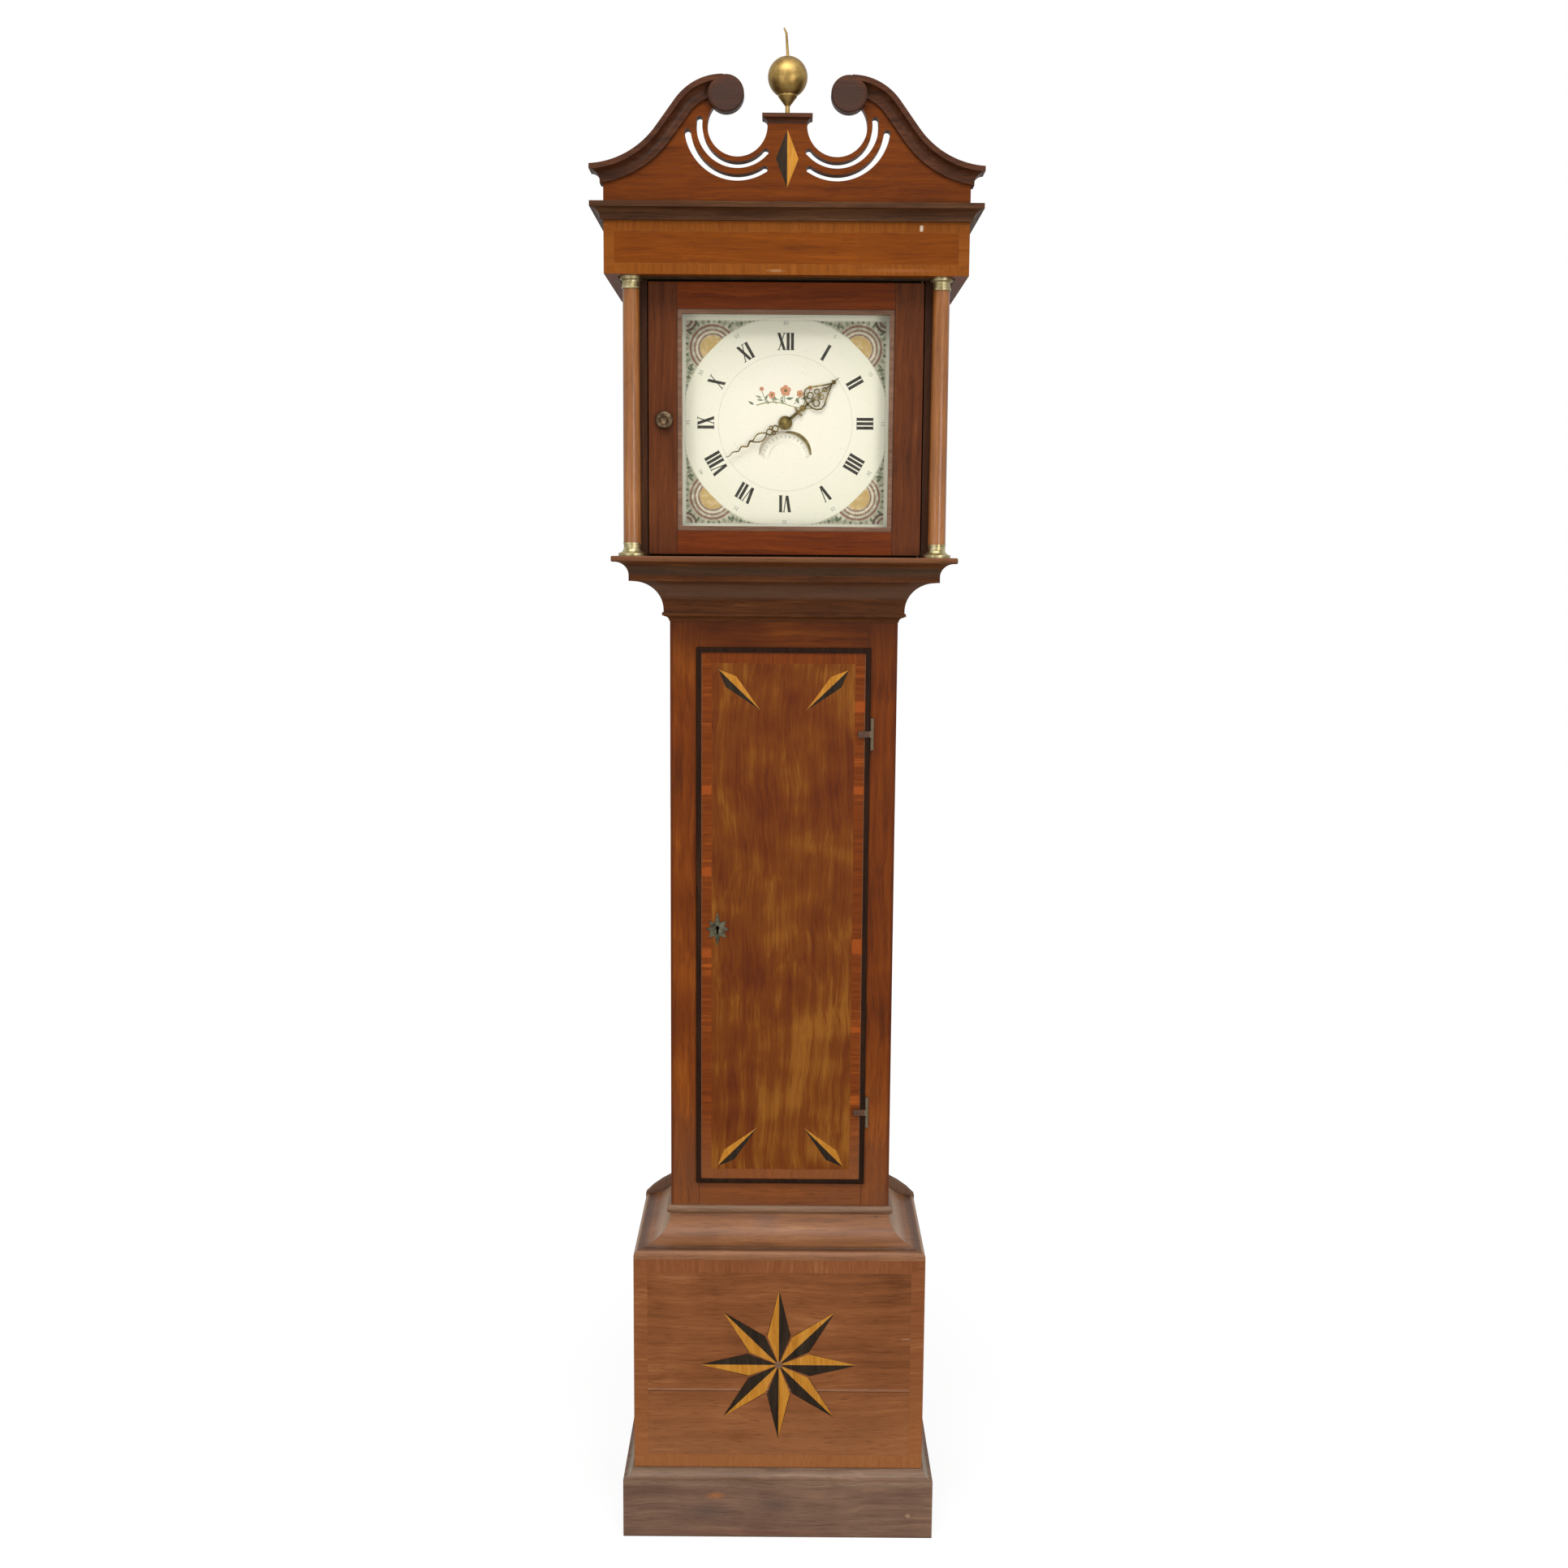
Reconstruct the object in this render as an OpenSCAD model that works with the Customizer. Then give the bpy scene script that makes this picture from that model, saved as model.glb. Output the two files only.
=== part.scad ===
// Longcase clock: oak and mahogany case with inlay, painted dial and rope-driven movement.
// X is across the front, Y runs to the back, Z is up. The clock stands on Z = 0, facing -Y.

/* [Case] */
// Width of the trunk
trunk_w = 320; // [300:1:340]
// Depth of the trunk, from its front to the wall side of the backboard
trunk_d = 182; // [176:1:196]
// How far the base stands out from the trunk, in front and at each side
base_out = 51.6; // [46:0.2:58]
// How far the plinth stands out from the base
plinth_out = 15.4; // [12:0.2:18]
// Height of the plinth skirt
plinth_h = 79.5; // [60:0.5:100]
// Height of the cove on top of the plinth
plinth_cove_h = 21.5; // [20:0.5:26]
// Height of the base panel that shows above the plinth
base_h = 321; // [300:1:340]
// Height of the shoulder between the base and the trunk
shoulder_h = 50; // [47:0.5:56]
// Height of the nosing under the trunk
nosing_h = 13; // [10:0.5:16]
// How far the nosing stands out from the trunk
nosing_out = 6; // [4:0.5:8]
// Height of the trunk between the nosing and the throat moulding
trunk_h = 856; // [840:1:880]
// Height of the throat moulding under the hood
throat_h = 56; // [55:0.5:60]
// Thickness of the trunk's side boards
side_t = 14; // [11:0.5:18]
// Thickness of the trunk's front stiles and rails
front_t = 18; // [15:0.5:20]
// Thickness of the base's boards
base_t = 16; // [12:0.5:20]
// Thickness of the backboard
back_t = 12; // [8:0.5:14]
// Width of the crossbanding round the base
base_band_w = 20; // [14:1:26]
// Thickness of the inlaid veneers
veneer_t = 1.2; // [0.8:0.1:2]
// Length of a point of the star
star_r = 115; // [90:1:125]
// Height of the star's centre above the plinth
star_h = 160; // [150:1:170]

/* [Trunk door] */
// Half of the trunk door's width, over its moulded lip
door_hw = 123; // [115:0.5:126]
// Height of the bare trunk under the door
door_foot_gap = 34; // [30:0.5:50]
// Height of the bare trunk over the door
door_head_gap = 36.3; // [30:0.1:60]
// Thickness of the trunk door's panel
door_t = 20; // [16:0.5:21]
// How far the lip overlaps the stiles and rails
lip_over = 4; // [3:0.5:6]
// Width of the lip moulding
lip_w = 7; // [6.5:0.5:10]
// Width of the crossbanding round the trunk door
door_band_w = 15; // [11:0.5:18]
// Length of a corner kite
kite_l = 83; // [70:1:90]
// Distance of the hinge centres from the door's bottom and top edges
hinge_ends = [109.5, 121.2]; // [Lower, Upper]
// Length of a hinge barrel
hinge_h = 45; // [38:1:55]
// Radius of a hinge barrel
hinge_r = 2.6; // [2.2:0.1:3]
// Distance of the keyhole from the door's centre line
key_x = 92.5; // [88:0.5:100]
// Height of the keyhole above the door's bottom edge
key_h = 381; // [340:1:420]

/* [Hood] */
// How far the frieze stands in front of the trunk
hood_reach = 70; // [66:0.5:76]
// Width of the frieze
frieze_w = 484; // [478:1:500]
// How far the cornice stands out from the frieze
cornice_out = 17; // [14:0.5:20]
// Height of the moulded hood base
hood_base_h = 34; // [32:0.5:38]
// Height of the space for the hood door and columns
hood_bay_h = 370.3; // [366:0.5:376]
// Height of the frieze below the cornice
frieze_h = 68.7; // [60:0.5:76]
// Height of the cornice
cornice_h = 21.5; // [20:0.5:26]
// Thickness of the hood's boards
hood_t = 13; // [10:0.5:16]
// Half of the hood door's width
hood_door_hw = 186.5; // [185:0.1:187]
// Height of the hood door
hood_door_h = 364; // [360:0.5:366]
// Width of the hood door's frame
hood_stile = 39; // [36:0.5:44]
// Thickness of the hood door
hood_door_t = 18; // [15:0.5:18]
// Distance of a column's centre inside the frieze's end
column_inset = 34; // [30:0.5:36]
// Radius of a column at its top
column_r = 11.2; // [9:0.1:12]
// Height of a column's brass base
column_base_h = 18; // [14:0.5:24]
// Height of a column's brass capital
column_cap_h = 16; // [12:0.5:22]

/* [Pediment] */
// Thickness of the pediment board
pediment_t = 18; // [14:0.5:22]
// Height of the top of the scrolls above the cornice
scroll_top = 159; // [152:1:166]
// Distance of a scroll's centre from the centre line
scroll_x = 80; // [76:0.5:84]
// Radius of a scroll
scroll_r = 23.5; // [21:0.5:25]
// Width of the swan-neck moulding
swan_w = 23; // [20:0.5:26]
// Radius of the round openings in the fret
fret_r = 39.5; // [36:0.5:41]
// Distance of a round opening from the centre line
fret_x = 65.5; // [64:0.5:68]
// Height of the round openings above the cornice
fret_h = 99.5; // [96:0.5:103]
// Width of the curved slots in the fret
slot_w = 8; // [6:0.5:9]
// Radius of the finial's ball
ball_r = 26; // [20:0.1:28]
// Height of the finial's ball above the pedestal
ball_h = 48.5; // [46:0.5:54]

/* [Dial and movement] */
// Width and height of the dial plate
dial_w = 305; // [296:1:308]
// Height of the hands' centre above the hood's base
dial_h = 183.2; // [180:0.2:186]
// Length of the hour hand
hour_l = 96; // [70:1:98]
// Length of the minute hand
minute_l = 97; // [90:1:125]
// Angle of the hour hand, clockwise from twelve
hour_angle = 50; // [0:1:359]
// Angle of the minute hand, clockwise from twelve
minute_angle = 240; // [0:1:359]
// Width of the movement plates
plate_w = 150; // [150:1:160]
// Height of the movement plates
plate_h = 198; // [195:0.5:202]
// Distance between the movement plates
plate_gap = 57.5; // [57:0.5:62]
// Thickness of the movement plates
plate_t = 2.5; // [2:0.1:3]
// Length of the pendulum, from its spring to the centre of its bob
pendulum_l = 985; // [940:5:1010]
// Radius of the pendulum bob
bob_r = 55; // [45:1:60]
// Thickness of the pendulum bob
bob_t = 26; // [20:0.5:27]
// Radius of the driving weight
weight_r = 28; // [24:0.5:30]
// Height of the driving weight
weight_h = 165; // [140:1:190]
// Height of the weight's pulley as it hangs
weight_z = 1150; // [1100:5:1200]
// Height of the counterweight above the base as it hangs
counter_rise = 178; // [120:1:240]
// Radius of the rope
rope_r = 3; // [2.5:0.1:3.2]
// Height of the hands' centre above the foot of the movement plates
plate_drop = 107.2; // [106:0.2:110]
// Height of the bell's mouth above the movement plates
bell_h = 30; // [26:0.5:34]

/* [Hidden] */
$fn = 72;

oak = "#7a4424";
mahogany = "#6b3a1e";
frieze_wood = "#8a5220";
dark_wood = "#4b3426";
worn_wood = "#7b5f50";
band_wood = "#8c4418";
light_inlay = "#c98a35";
pine = "#a98a5c";
brass = "#b39a55";
steel = "#8d8f92";
lead = "#6f7276";
cream = "#efecd6";
rope_tan = "#c2a878";

// Clearances
hair = 0.1;          // between the separate boards or veneers of one node
seat_gap = 0.3;      // between pieces that rest on each other and can part
run_gap = 0.05;      // between a shaft and its hole, on the radius
deep = 900;          // inward reach of a moulding's profile

// Main planes
trunk_hw = trunk_w / 2;
base_hw = trunk_hw + base_out;
frieze_hw = frieze_w / 2;
back_y = (trunk_d + hood_reach + cornice_out) / 2;
trunk_y = back_y - trunk_d;
base_y = trunk_y - base_out;
frieze_y = trunk_y - hood_reach;
inner_back_y = back_y - back_t;

// Main levels
base_z = plinth_h + plinth_cove_h;
base_top = base_z + base_h;
shoulder_top = base_top + shoulder_h;
shoulder_edge_h = 12;                // of the shoulder's square foot
cheek_h = shoulder_h - 4;
trunk_z = shoulder_top + nosing_h;
throat_z = trunk_z + trunk_h;
throat_top = throat_z + throat_h;
hood_z = throat_top + seat_gap;
bay_z = hood_z + hood_base_h;
frieze_z = bay_z + hood_bay_h;
cornice_z = frieze_z + frieze_h;
pediment_z = cornice_z + cornice_h;
trunk_foot = base_top - 27;

star_z = base_z + star_h;

// Trunk door
door_z = trunk_z + door_foot_gap;
door_h = throat_z - door_head_gap - door_z;
hinge_heights = [hinge_ends[0], door_h - hinge_ends[1]];
key_z = door_z + key_h;
joint_gap = 1;                       // round the panel in its opening
panel_hw = door_hw - lip_over - joint_gap;
opening_hw = panel_hw + joint_gap;
opening_z = door_z + lip_over;
opening_top = door_z + door_h - lip_over;
lip_t = 4.7;
lip_back = trunk_y - seat_gap;
lip_y = lip_back - lip_t;
panel_y = lip_y + 2;
hinge_x = door_hw + seat_gap + hinge_r;
hinge_y = trunk_y - 0.6 - hinge_r;
hinge_pin_r = 1.2;
leaf_t = 1.2;
star_points = 8;
star_core = 6;

// Hood
hood_side_in = hood_door_hw + 1.7;
hood_side_out = hood_side_in + hood_t;
column_x = frieze_hw - column_inset;
column_y = trunk_y - 47;
column_foot_r = 19;
hood_side_y = column_y + column_foot_r + seat_gap;
hood_door_y = hood_side_y - 2.8;
hood_door_back = hood_door_y + hood_door_t;
hood_door_z = bay_z + 3;
hood_door_top = hood_door_z + hood_door_h;
hood_base_fillet = 53;
hood_base_lip = 75;
hood_core_hw = trunk_hw + 3;
window_hw = hood_door_hw - hood_stile;
window_z = hood_door_z + 32;
window_top = hood_door_top - 35;
rebate = 5;
glass_t = 2.5;
glass_y = hood_door_y + 8;
bead_w = 6.5;
pivot_x = hood_door_hw - 3;
pivot_y = hood_door_y + 3;
pivot_r = 2;
mask_y = hood_door_back + 0.4;
mask_t = 8;
soffit_t = 12;
knob_x = 165;
knob_r = 12;

// Pediment, from the cornice up
scroll_z = pediment_z + scroll_top - scroll_r;
fret_z = pediment_z + fret_h;
swan_arc_r = 78;                     // upper, convex arc of the swan neck's top edge
swan_foot_r = 116.5;                 // lower, hollow arc
swan_slope = 53.5;                   // slope of the straight stretch between them
swan_foot_slope = 7;                 // slope where the moulding meets its end
swan_run = 42;                       // length of the straight stretch
swan_arc_x = scroll_x + 4;
swan_arc_z = pediment_z + scroll_top - swan_arc_r;
run_x = swan_arc_x + swan_arc_r * sin(swan_slope);
run_z = swan_arc_z + swan_arc_r * cos(swan_slope);
run_end_x = run_x + swan_run * cos(swan_slope);
run_end_z = run_z - swan_run * sin(swan_slope);
foot_arc_x = run_end_x + swan_foot_r * sin(swan_slope);
foot_arc_z = run_end_z + swan_foot_r * cos(swan_slope);
foot_x = foot_arc_x - swan_foot_r * sin(swan_foot_slope);
foot_z = foot_arc_z - swan_foot_r * cos(swan_foot_slope);
pedestal_hw = fret_x - fret_r;
cap_z = fret_z + 2;
cap_h = 12;
cap_top = cap_z + cap_h;
cap_out = 7;
finial_y = frieze_y + pediment_t / 2;
ball_z = cap_top + ball_h;
spike_h = 37;
spike_lean = 4;

// Dial and motion work
dial_z = bay_z + dial_h;
dial_t = 1.6;
dial_y = trunk_y + 1;
dial_back = dial_y + dial_t;
hand_t = 1;
hour_y = dial_y - 4;
minute_y = hour_y - 3.5;
pipe_r = 6;
pipe_bore = 3.6;
cannon_r = pipe_bore - run_gap;
date_drop = 48;                      // of the date disc's centre below the hands
date_ring_r = 28;
date_slot_w = 13;
date_disc_r = 38.5;
date_disc_y = dial_back + 1.4;
date_stud_r = 2.5;

// Movement
seat_t = 18;
plate_z = dial_z - plate_drop;
seat_z = plate_z - seat_t;
plate_top = plate_z + plate_h;
front_plate_y = trunk_y + 29.5;
back_plate_y = front_plate_y + plate_t + plate_gap;
back_plate_back = back_plate_y + plate_t;
arbor_r = 2;
gudgeon_r = 1.2;
pillar_r = 5;
pillar_inset = 9;
rope_y = front_plate_y + 41.5;
sprocket_r = 22;
pendulum_y = back_plate_back + 25.5;

// Wheel sizes: module, teeth and leaves
great_m = 1.2;
great_n = 60;
pinion_n = 8;
centre_m = 1;
centre_n = 60;
third_m = 0.9;
third_n = 56;
escape_leaves = 7;
escape_n = 30;
escape_r = 22;
cannon_n = 40;
cannon_m = 0.8;
hour_n = 72;
hour_leaves = 6;
motion_gap = cannon_m * cannon_n;    // between the centre arbor and the minute wheel's stud
hour_m = 2 * motion_gap / (hour_n + hour_leaves);

function mesh_gap(m, a, b) = m * (a + b) / 2;
great_gap = mesh_gap(great_m, great_n, pinion_n);
third_gap = mesh_gap(centre_m, centre_n, pinion_n);
escape_gap = mesh_gap(third_m, third_n, escape_leaves);

// Arbor places as [x, z] from the hands' centre
great_x = 38;
great_at = [great_x, -sqrt(great_gap * great_gap - great_x * great_x)];
strike_at = [-great_at[0], great_at[1]];
third_x = 20;
third_at = [third_x, sqrt(third_gap * third_gap - third_x * third_x)];
escape_at = [0, third_at[1] + sqrt(escape_gap * escape_gap - third_x * third_x)];
anchor_at = [0, escape_at[1] + 31.4];
minute_at = motion_gap * [sin(45), -cos(45)];
hammer_at = [-52, 69];
date_at = [0, -date_drop];

// Weights and ropes
pulley_r = great_x - sprocket_r;     // the weight's rope hangs straight from both sprockets
counter_r = 20;
counter_z = base_top + counter_rise;
counter_y = trunk_y + 30.5;
counter_t = 12;
weight_drop = 40;                    // from the pulley's centre to the top of the weight
pendulum_z = dial_z + anchor_at[1];
bob_z = pendulum_z - pendulum_l;
rod_r = 2.2;
bell_x = -30;
bell_y = front_plate_y + 33;
bell_r = 36;
bell_z = plate_top + bell_h;

// Shared shapes

module board(x0, x1, y0, y1, z0, z1) {
    translate([x0, y0, z0]) cube([x1 - x0, y1 - y0, z1 - z0]);
}

module pair() {
    children();
    mirror([1, 0, 0]) children();
}

// A flat outline drawn on a plane that faces -Y, from y forward by t
module on_front(y, t) {
    translate([0, y, 0]) rotate([90, 0, 0]) linear_extrude(t) children();
}

// A round bar along Y, from y0 to y1, at a place [x, z] given from the hands' centre
module along_y(at, y0, y1, r) {
    translate([at[0], y1, dial_z + at[1]]) rotate([90, 0, 0]) cylinder(r = r, h = y1 - y0);
}

// A moulding that runs across the front and is mitred back along both sides.
// The profile has x outward from the face that carries it, and y as the height.
module mitred(half_w, front, back, wall) {
    reach = 2 * half_w + 400;
    difference() {
        intersection() {
            translate([-reach / 2, front, 0]) rotate([90, 0, 90])
                linear_extrude(reach) mirror([1, 0]) children();
            translate([0, back, 0]) rotate([90, 0, 0])
                linear_extrude(back - front + 200) intersection() {
                    translate([half_w, 0]) children();
                    mirror([1, 0]) translate([half_w, 0]) children();
                }
        }
        translate([wall - half_w, front + wall, -1])
            cube([2 * (half_w - wall), back - front + 20, 3000]);
    }
}

// Profile strip from the core out to p, between two heights
module strip(p, z0, z1) {
    translate([-deep, z0]) square([deep + p, z1 - z0]);
}

// Gear outline with straight-sided teeth, a tooth centred on +X
module gear_2d(m, n, tooth = 0.42) {
    r = m * n / 2;
    tip = r + 0.65 * m;
    root = r - 1.05 * m;
    pitch = 360 / n;
    polygon([
        for (i = [0 : n - 1]) for (k = [0 : 3])
            let (a = i * pitch + pitch * [-0.62, -0.26, 0.26, 0.62][k] * tooth)
            let (q = (k == 0 || k == 3) ? root : tip)
            [q * cos(a), q * sin(a)]
    ]);
}

// A crossed-out wheel: rim, four arms and a hub
module wheel_2d(m, n, rim, hub, arm) {
    r = m * n / 2 - 1.05 * m;
    difference() {
        gear_2d(m, n);
        circle(r - rim);
    }
    circle(hub);
    for (a = [0, 90]) rotate(a) square([2 * (r - rim + 1), arm], center = true);
}

// A wheel or pinion on an arbor, turned by phase degrees
module geared(at, y0, t, phase) {
    translate([at[0], y0 + t, dial_z + at[1]]) rotate([90, 0, 0])
        linear_extrude(t) rotate(phase) children();
}

// An arbor between the plates with a thinner pivot in each plate
module arbor(at) {
    along_y(at, front_plate_y + plate_t + 0.4, back_plate_y - 0.4, arbor_r);
    along_y(at, front_plate_y, back_plate_back, gudgeon_r);
}

// Angle at which a place lies from another, as seen from the front
function bearing(from, to) = atan2(to[1] - from[1], to[0] - from[0]);

// Turn of a driven wheel that sets a tooth space against the driver's tooth on the line of centres
function driven_phase(from, to, n_from, n_to, from_phase) =
    bearing(to, from) + 180 / n_to
    + (bearing(from, to) - from_phase) * n_from / n_to;

third_phase = driven_phase([0, 0], third_at, centre_n, pinion_n, 0);
escape_phase = driven_phase(third_at, escape_at, third_n, escape_leaves, third_phase);
great_phase = driven_phase([0, 0], great_at, pinion_n, great_n, 0);
minute_phase = driven_phase([0, 0], minute_at, cannon_n, cannon_n, 0);
hour_phase = driven_phase(minute_at, [0, 0], hour_leaves, hour_n, minute_phase);

// Plinth and base

module plinth_skirt() {
    color(worn_wood) mitred(base_hw, base_y, back_y, 0) strip(plinth_out, 0, plinth_h);
}

module plinth_moulding() {
    cove_r = 13;
    color(dark_wood) mitred(base_hw, base_y, back_y, 0) difference() {
        strip(plinth_out, plinth_h, base_z);
        translate([plinth_out, base_z]) circle(cove_r);
    }
}

module base_band_2d() {
    difference() {
        translate([-base_hw, base_z]) square([2 * base_hw, base_h]);
        translate([base_band_w - base_hw, base_z + base_band_w])
            square([2 * (base_hw - base_band_w), base_h - 2 * base_band_w]);
    }
}

// One half of a star point, on the side where y is above the point's axis
module half_point_2d() {
    slope = 0.375;
    polygon([
        [star_core, hair / 2],
        [star_core, star_core * slope - hair],
        [0.4 * star_r, 0.4 * star_r * slope],
        [star_r, hair / 2]
    ]);
}

module base_star_2d() {
    translate([0, star_z]) for (i = [0 : star_points - 1]) rotate(i * 360 / star_points) {
        half_point_2d();
        mirror([0, 1]) half_point_2d();
    }
}

module base_front() {
    joint_z = star_z - 41;
    color(oak) difference() {
        board(-base_hw, base_hw, base_y, base_y + 20, 0, base_top);
        on_front(base_y + veneer_t, veneer_t + 1) base_band_2d();
        on_front(base_y + veneer_t, veneer_t + 1) base_star_2d();
        board(base_band_w - base_hw, base_hw - base_band_w, base_y - 1, base_y + 0.5, joint_z, joint_z + 0.5);
    }
}

module base_crossbanding() {
    color(band_wood) on_front(base_y + veneer_t, veneer_t) base_band_2d();
}

module base_star() {
    color(light_inlay) on_front(base_y + veneer_t, veneer_t) base_star_2d();
}

module case_sides() {
    cheek_y = trunk_y + 35;
    color(oak) pair() {
        board(base_hw - base_t, base_hw, base_y + 20, inner_back_y, 0, base_top);
        board(trunk_hw - side_t, trunk_hw, trunk_y + front_t, inner_back_y, trunk_foot, throat_top);
        board(trunk_hw - side_t, trunk_hw, cheek_y, inner_back_y, throat_top, seat_z);
    }
}

module shoulder_moulding() {
    cove_r = base_out - 13.6;
    edge_h = shoulder_edge_h;
    step_h = 2;
    edge_r = 8;
    cove_foot = base_top + edge_h + step_h - 0.6;
    color(worn_wood) mitred(trunk_hw, trunk_y, inner_back_y, 0) {
        difference() {
            union() {
                strip(base_out - edge_r, base_top, base_top + edge_h);
                strip(base_out, base_top, base_top + edge_h - edge_r);
                translate([base_out - edge_r, base_top + edge_h - edge_r]) circle(edge_r);
                strip(cove_r + 1, base_top + edge_h - 1, shoulder_top);
            }
            translate([cove_r + 1, cove_foot + cove_r]) circle(cove_r);
            translate([cove_r + 1, cove_foot + cove_r]) square([80, 80]);
            translate([1, cove_foot + cove_r]) square([80, 80]);
        }
    }
}

module trunk_nosing() {
    nose_r = nosing_h / 2;
    color(dark_wood) mitred(trunk_hw, trunk_y, back_y, 0) intersection() {
        strip(nosing_out, shoulder_top, trunk_z);
        union() {
            strip(nosing_out - nose_r + 0.01, shoulder_top, trunk_z);
            translate([nosing_out - nose_r, shoulder_top + nose_r]) circle(nose_r);
        }
    }
}

module trunk_front_frame() {
    leaf_y = trunk_y + leaf_t;
    color(oak) difference() {
        union() {
            pair() board(opening_hw, trunk_hw, trunk_y, trunk_y + front_t, trunk_foot, throat_top);
            board(hair - opening_hw, opening_hw - hair, trunk_y, trunk_y + front_t, trunk_foot, opening_z);
            board(hair - opening_hw, opening_hw - hair, trunk_y, trunk_y + front_t, opening_top, throat_top);
        }
        for (h = hinge_heights)
            board(opening_hw - 1, hinge_x + hinge_r, trunk_y - 1, leaf_y,
                  door_z + h - hinge_h / 2, door_z + h + hinge_h / 2);
    }
}

// Cheek of the backboard behind the shoulder: the backboard's edge slopes in from the base to the trunk
module cheek_2d() {
    rise = cheek_h - shoulder_edge_h;
    translate([trunk_hw, base_top]) polygon([
        [-1, -1], [base_out, -1], [base_out, shoulder_edge_h],
        for (q = [[0.78, 0.33], [0.49, 0.64], [0.24, 0.85]]) [base_out * q[0], shoulder_edge_h + rise * q[1]],
        [0, cheek_h], [-1, cheek_h]
    ]);
}

module backboard() {
    ear_z = bay_z + 8;
    color(pine) {
        pair() on_front(back_y, back_y - inner_back_y) cheek_2d();
        board(-base_hw, base_hw, inner_back_y, back_y, 0, base_top);
        board(-trunk_hw, trunk_hw, inner_back_y, back_y, base_top - 1, ear_z + 1);
        board(2.2 - hood_side_in, hood_side_in - 2.2, inner_back_y, back_y, ear_z, frieze_z - 7);
    }
}

module throat_moulding() {
    foot_r = 7;
    bead_h = 4;
    bead_out = 10.5;
    cove_in = 8.5;
    cove_foot = throat_z + 16;
    cove_r = throat_top - cove_foot;
    bead_z = throat_z + foot_r + 1;
    color(dark_wood) mitred(trunk_hw, trunk_y, back_y, 0) {
        difference() {
            strip(cove_in + cove_r, cove_foot, throat_top);
            translate([cove_in + cove_r, cove_foot]) circle(cove_r);
        }
        strip(cove_in, bead_z, cove_foot);
        strip(bead_out, bead_z, bead_z + bead_h);
        difference() {
            strip(foot_r + 1, throat_z, bead_z);
            translate([foot_r + 1, throat_z]) circle(foot_r);
        }
    }
}

module seatboard() {
    slot_hw = 30;
    color(pine) difference() {
        board(-trunk_hw, trunk_hw, trunk_y + 35, inner_back_y, seat_z, plate_z);
        board(-slot_hw, slot_hw, pendulum_y - 12, pendulum_y + 12, seat_z - 1, plate_z + 1);
        pair() {
            translate([pulley_r, rope_y, seat_z - 1]) cylinder(r = 2 * rope_r, h = seat_t + 2);
            board(36, 68, rope_y - 25, rope_y + 9, seat_z - 1, plate_z + 1);
        }
    }
}

// Hinges of the trunk door

module case_hinge_leaves() {
    knuckle = hinge_h / 3;
    color(brass) for (h = hinge_heights) {
        z = door_z + h;
        for (s = [-1, 1]) translate([hinge_x, hinge_y, z + s * knuckle])
            cylinder(r = hinge_r, h = knuckle, center = true);
        translate([hinge_x, hinge_y, z]) cylinder(r = hinge_pin_r, h = hinge_h, center = true);
        board(opening_hw + 0.5, hinge_x + hinge_r, trunk_y, trunk_y + leaf_t,
              z - hinge_h / 2, z + hinge_h / 2);
        for (s = [-1, 1]) translate([hinge_x, (hinge_y + trunk_y) / 2, z + s * knuckle])
            cube([hinge_r, trunk_y - hinge_y, knuckle], center = true);
    }
}

module door_hinge_leaves() {
    knuckle = hinge_h / 3 - 2 * seat_gap;
    strap_t = 1.1;
    strap_l = 20;
    strap_h = 9;
    color(brass) for (h = hinge_heights) translate([hinge_x, hinge_y, door_z + h]) {
        difference() {
            union() {
                cylinder(r = hinge_r, h = knuckle, center = true);
                translate([-strap_l, lip_y - strap_t - hinge_y, -strap_h / 2])
                    cube([strap_l, strap_t, strap_h]);
            }
            cylinder(r = hinge_pin_r + run_gap, h = hinge_h, center = true);
        }
    }
}

// Trunk door

module door_band_2d() {
    inner = lip_w - lip_over - joint_gap;
    difference() {
        translate([inner - panel_hw, opening_z + joint_gap + inner])
            square([2 * (panel_hw - inner), opening_top - opening_z - 2 * joint_gap - 2 * inner]);
        translate([inner + door_band_w - panel_hw, opening_z + joint_gap + inner + door_band_w])
            square([2 * (panel_hw - inner - door_band_w),
                    opening_top - opening_z - 2 * (joint_gap + inner + door_band_w)]);
    }
}

// A kite lies along +X with its wide end near the origin
module kite_half_2d() {
    polygon([[0, hair / 2], [kite_l * 0.3, 10.5], [kite_l, hair / 2]]);
}

module kites_2d() {
    upper = door_z + door_h - 30.7;
    lower = door_z + 26;
    corner_x = door_hw - 31;
    for (side = [-1, 1]) {
        translate([side * corner_x, upper]) rotate(side > 0 ? 224 : -44) {
            kite_half_2d();
            mirror([0, 1]) kite_half_2d();
        }
        translate([side * corner_x, lower]) rotate(side > 0 ? 134.5 : 45.5) {
            kite_half_2d();
            mirror([0, 1]) kite_half_2d();
        }
    }
}

module keyhole_2d() {
    translate([-key_x, key_z + 2]) circle(2.6);
    translate([-key_x - 1.3, key_z - 7]) square([2.6, 9]);
}

// Eight-pointed plate round the keyhole
module escutcheon_2d() {
    points = 16;
    translate([-key_x, key_z]) polygon([
        for (i = [0 : points - 1])
            let (a = i * 360 / points)
            let (q = i % 2 == 0 ? (i % 8 == 4 ? 25 : i % 8 == 0 ? 16.3 : 17.5) : 10.5)
            [q * cos(a), q * sin(a)]
    ]);
}

module trunk_door_panel() {
    lock_y = panel_y + door_t;
    color(oak) difference() {
        board(-panel_hw, panel_hw, panel_y, lock_y, opening_z + joint_gap, opening_top - joint_gap);
        on_front(panel_y + veneer_t, veneer_t + 1) door_band_2d();
        on_front(panel_y + veneer_t, veneer_t + 1) kites_2d();
        on_front(lock_y + 1, door_t + 2) keyhole_2d();
    }
}

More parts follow.
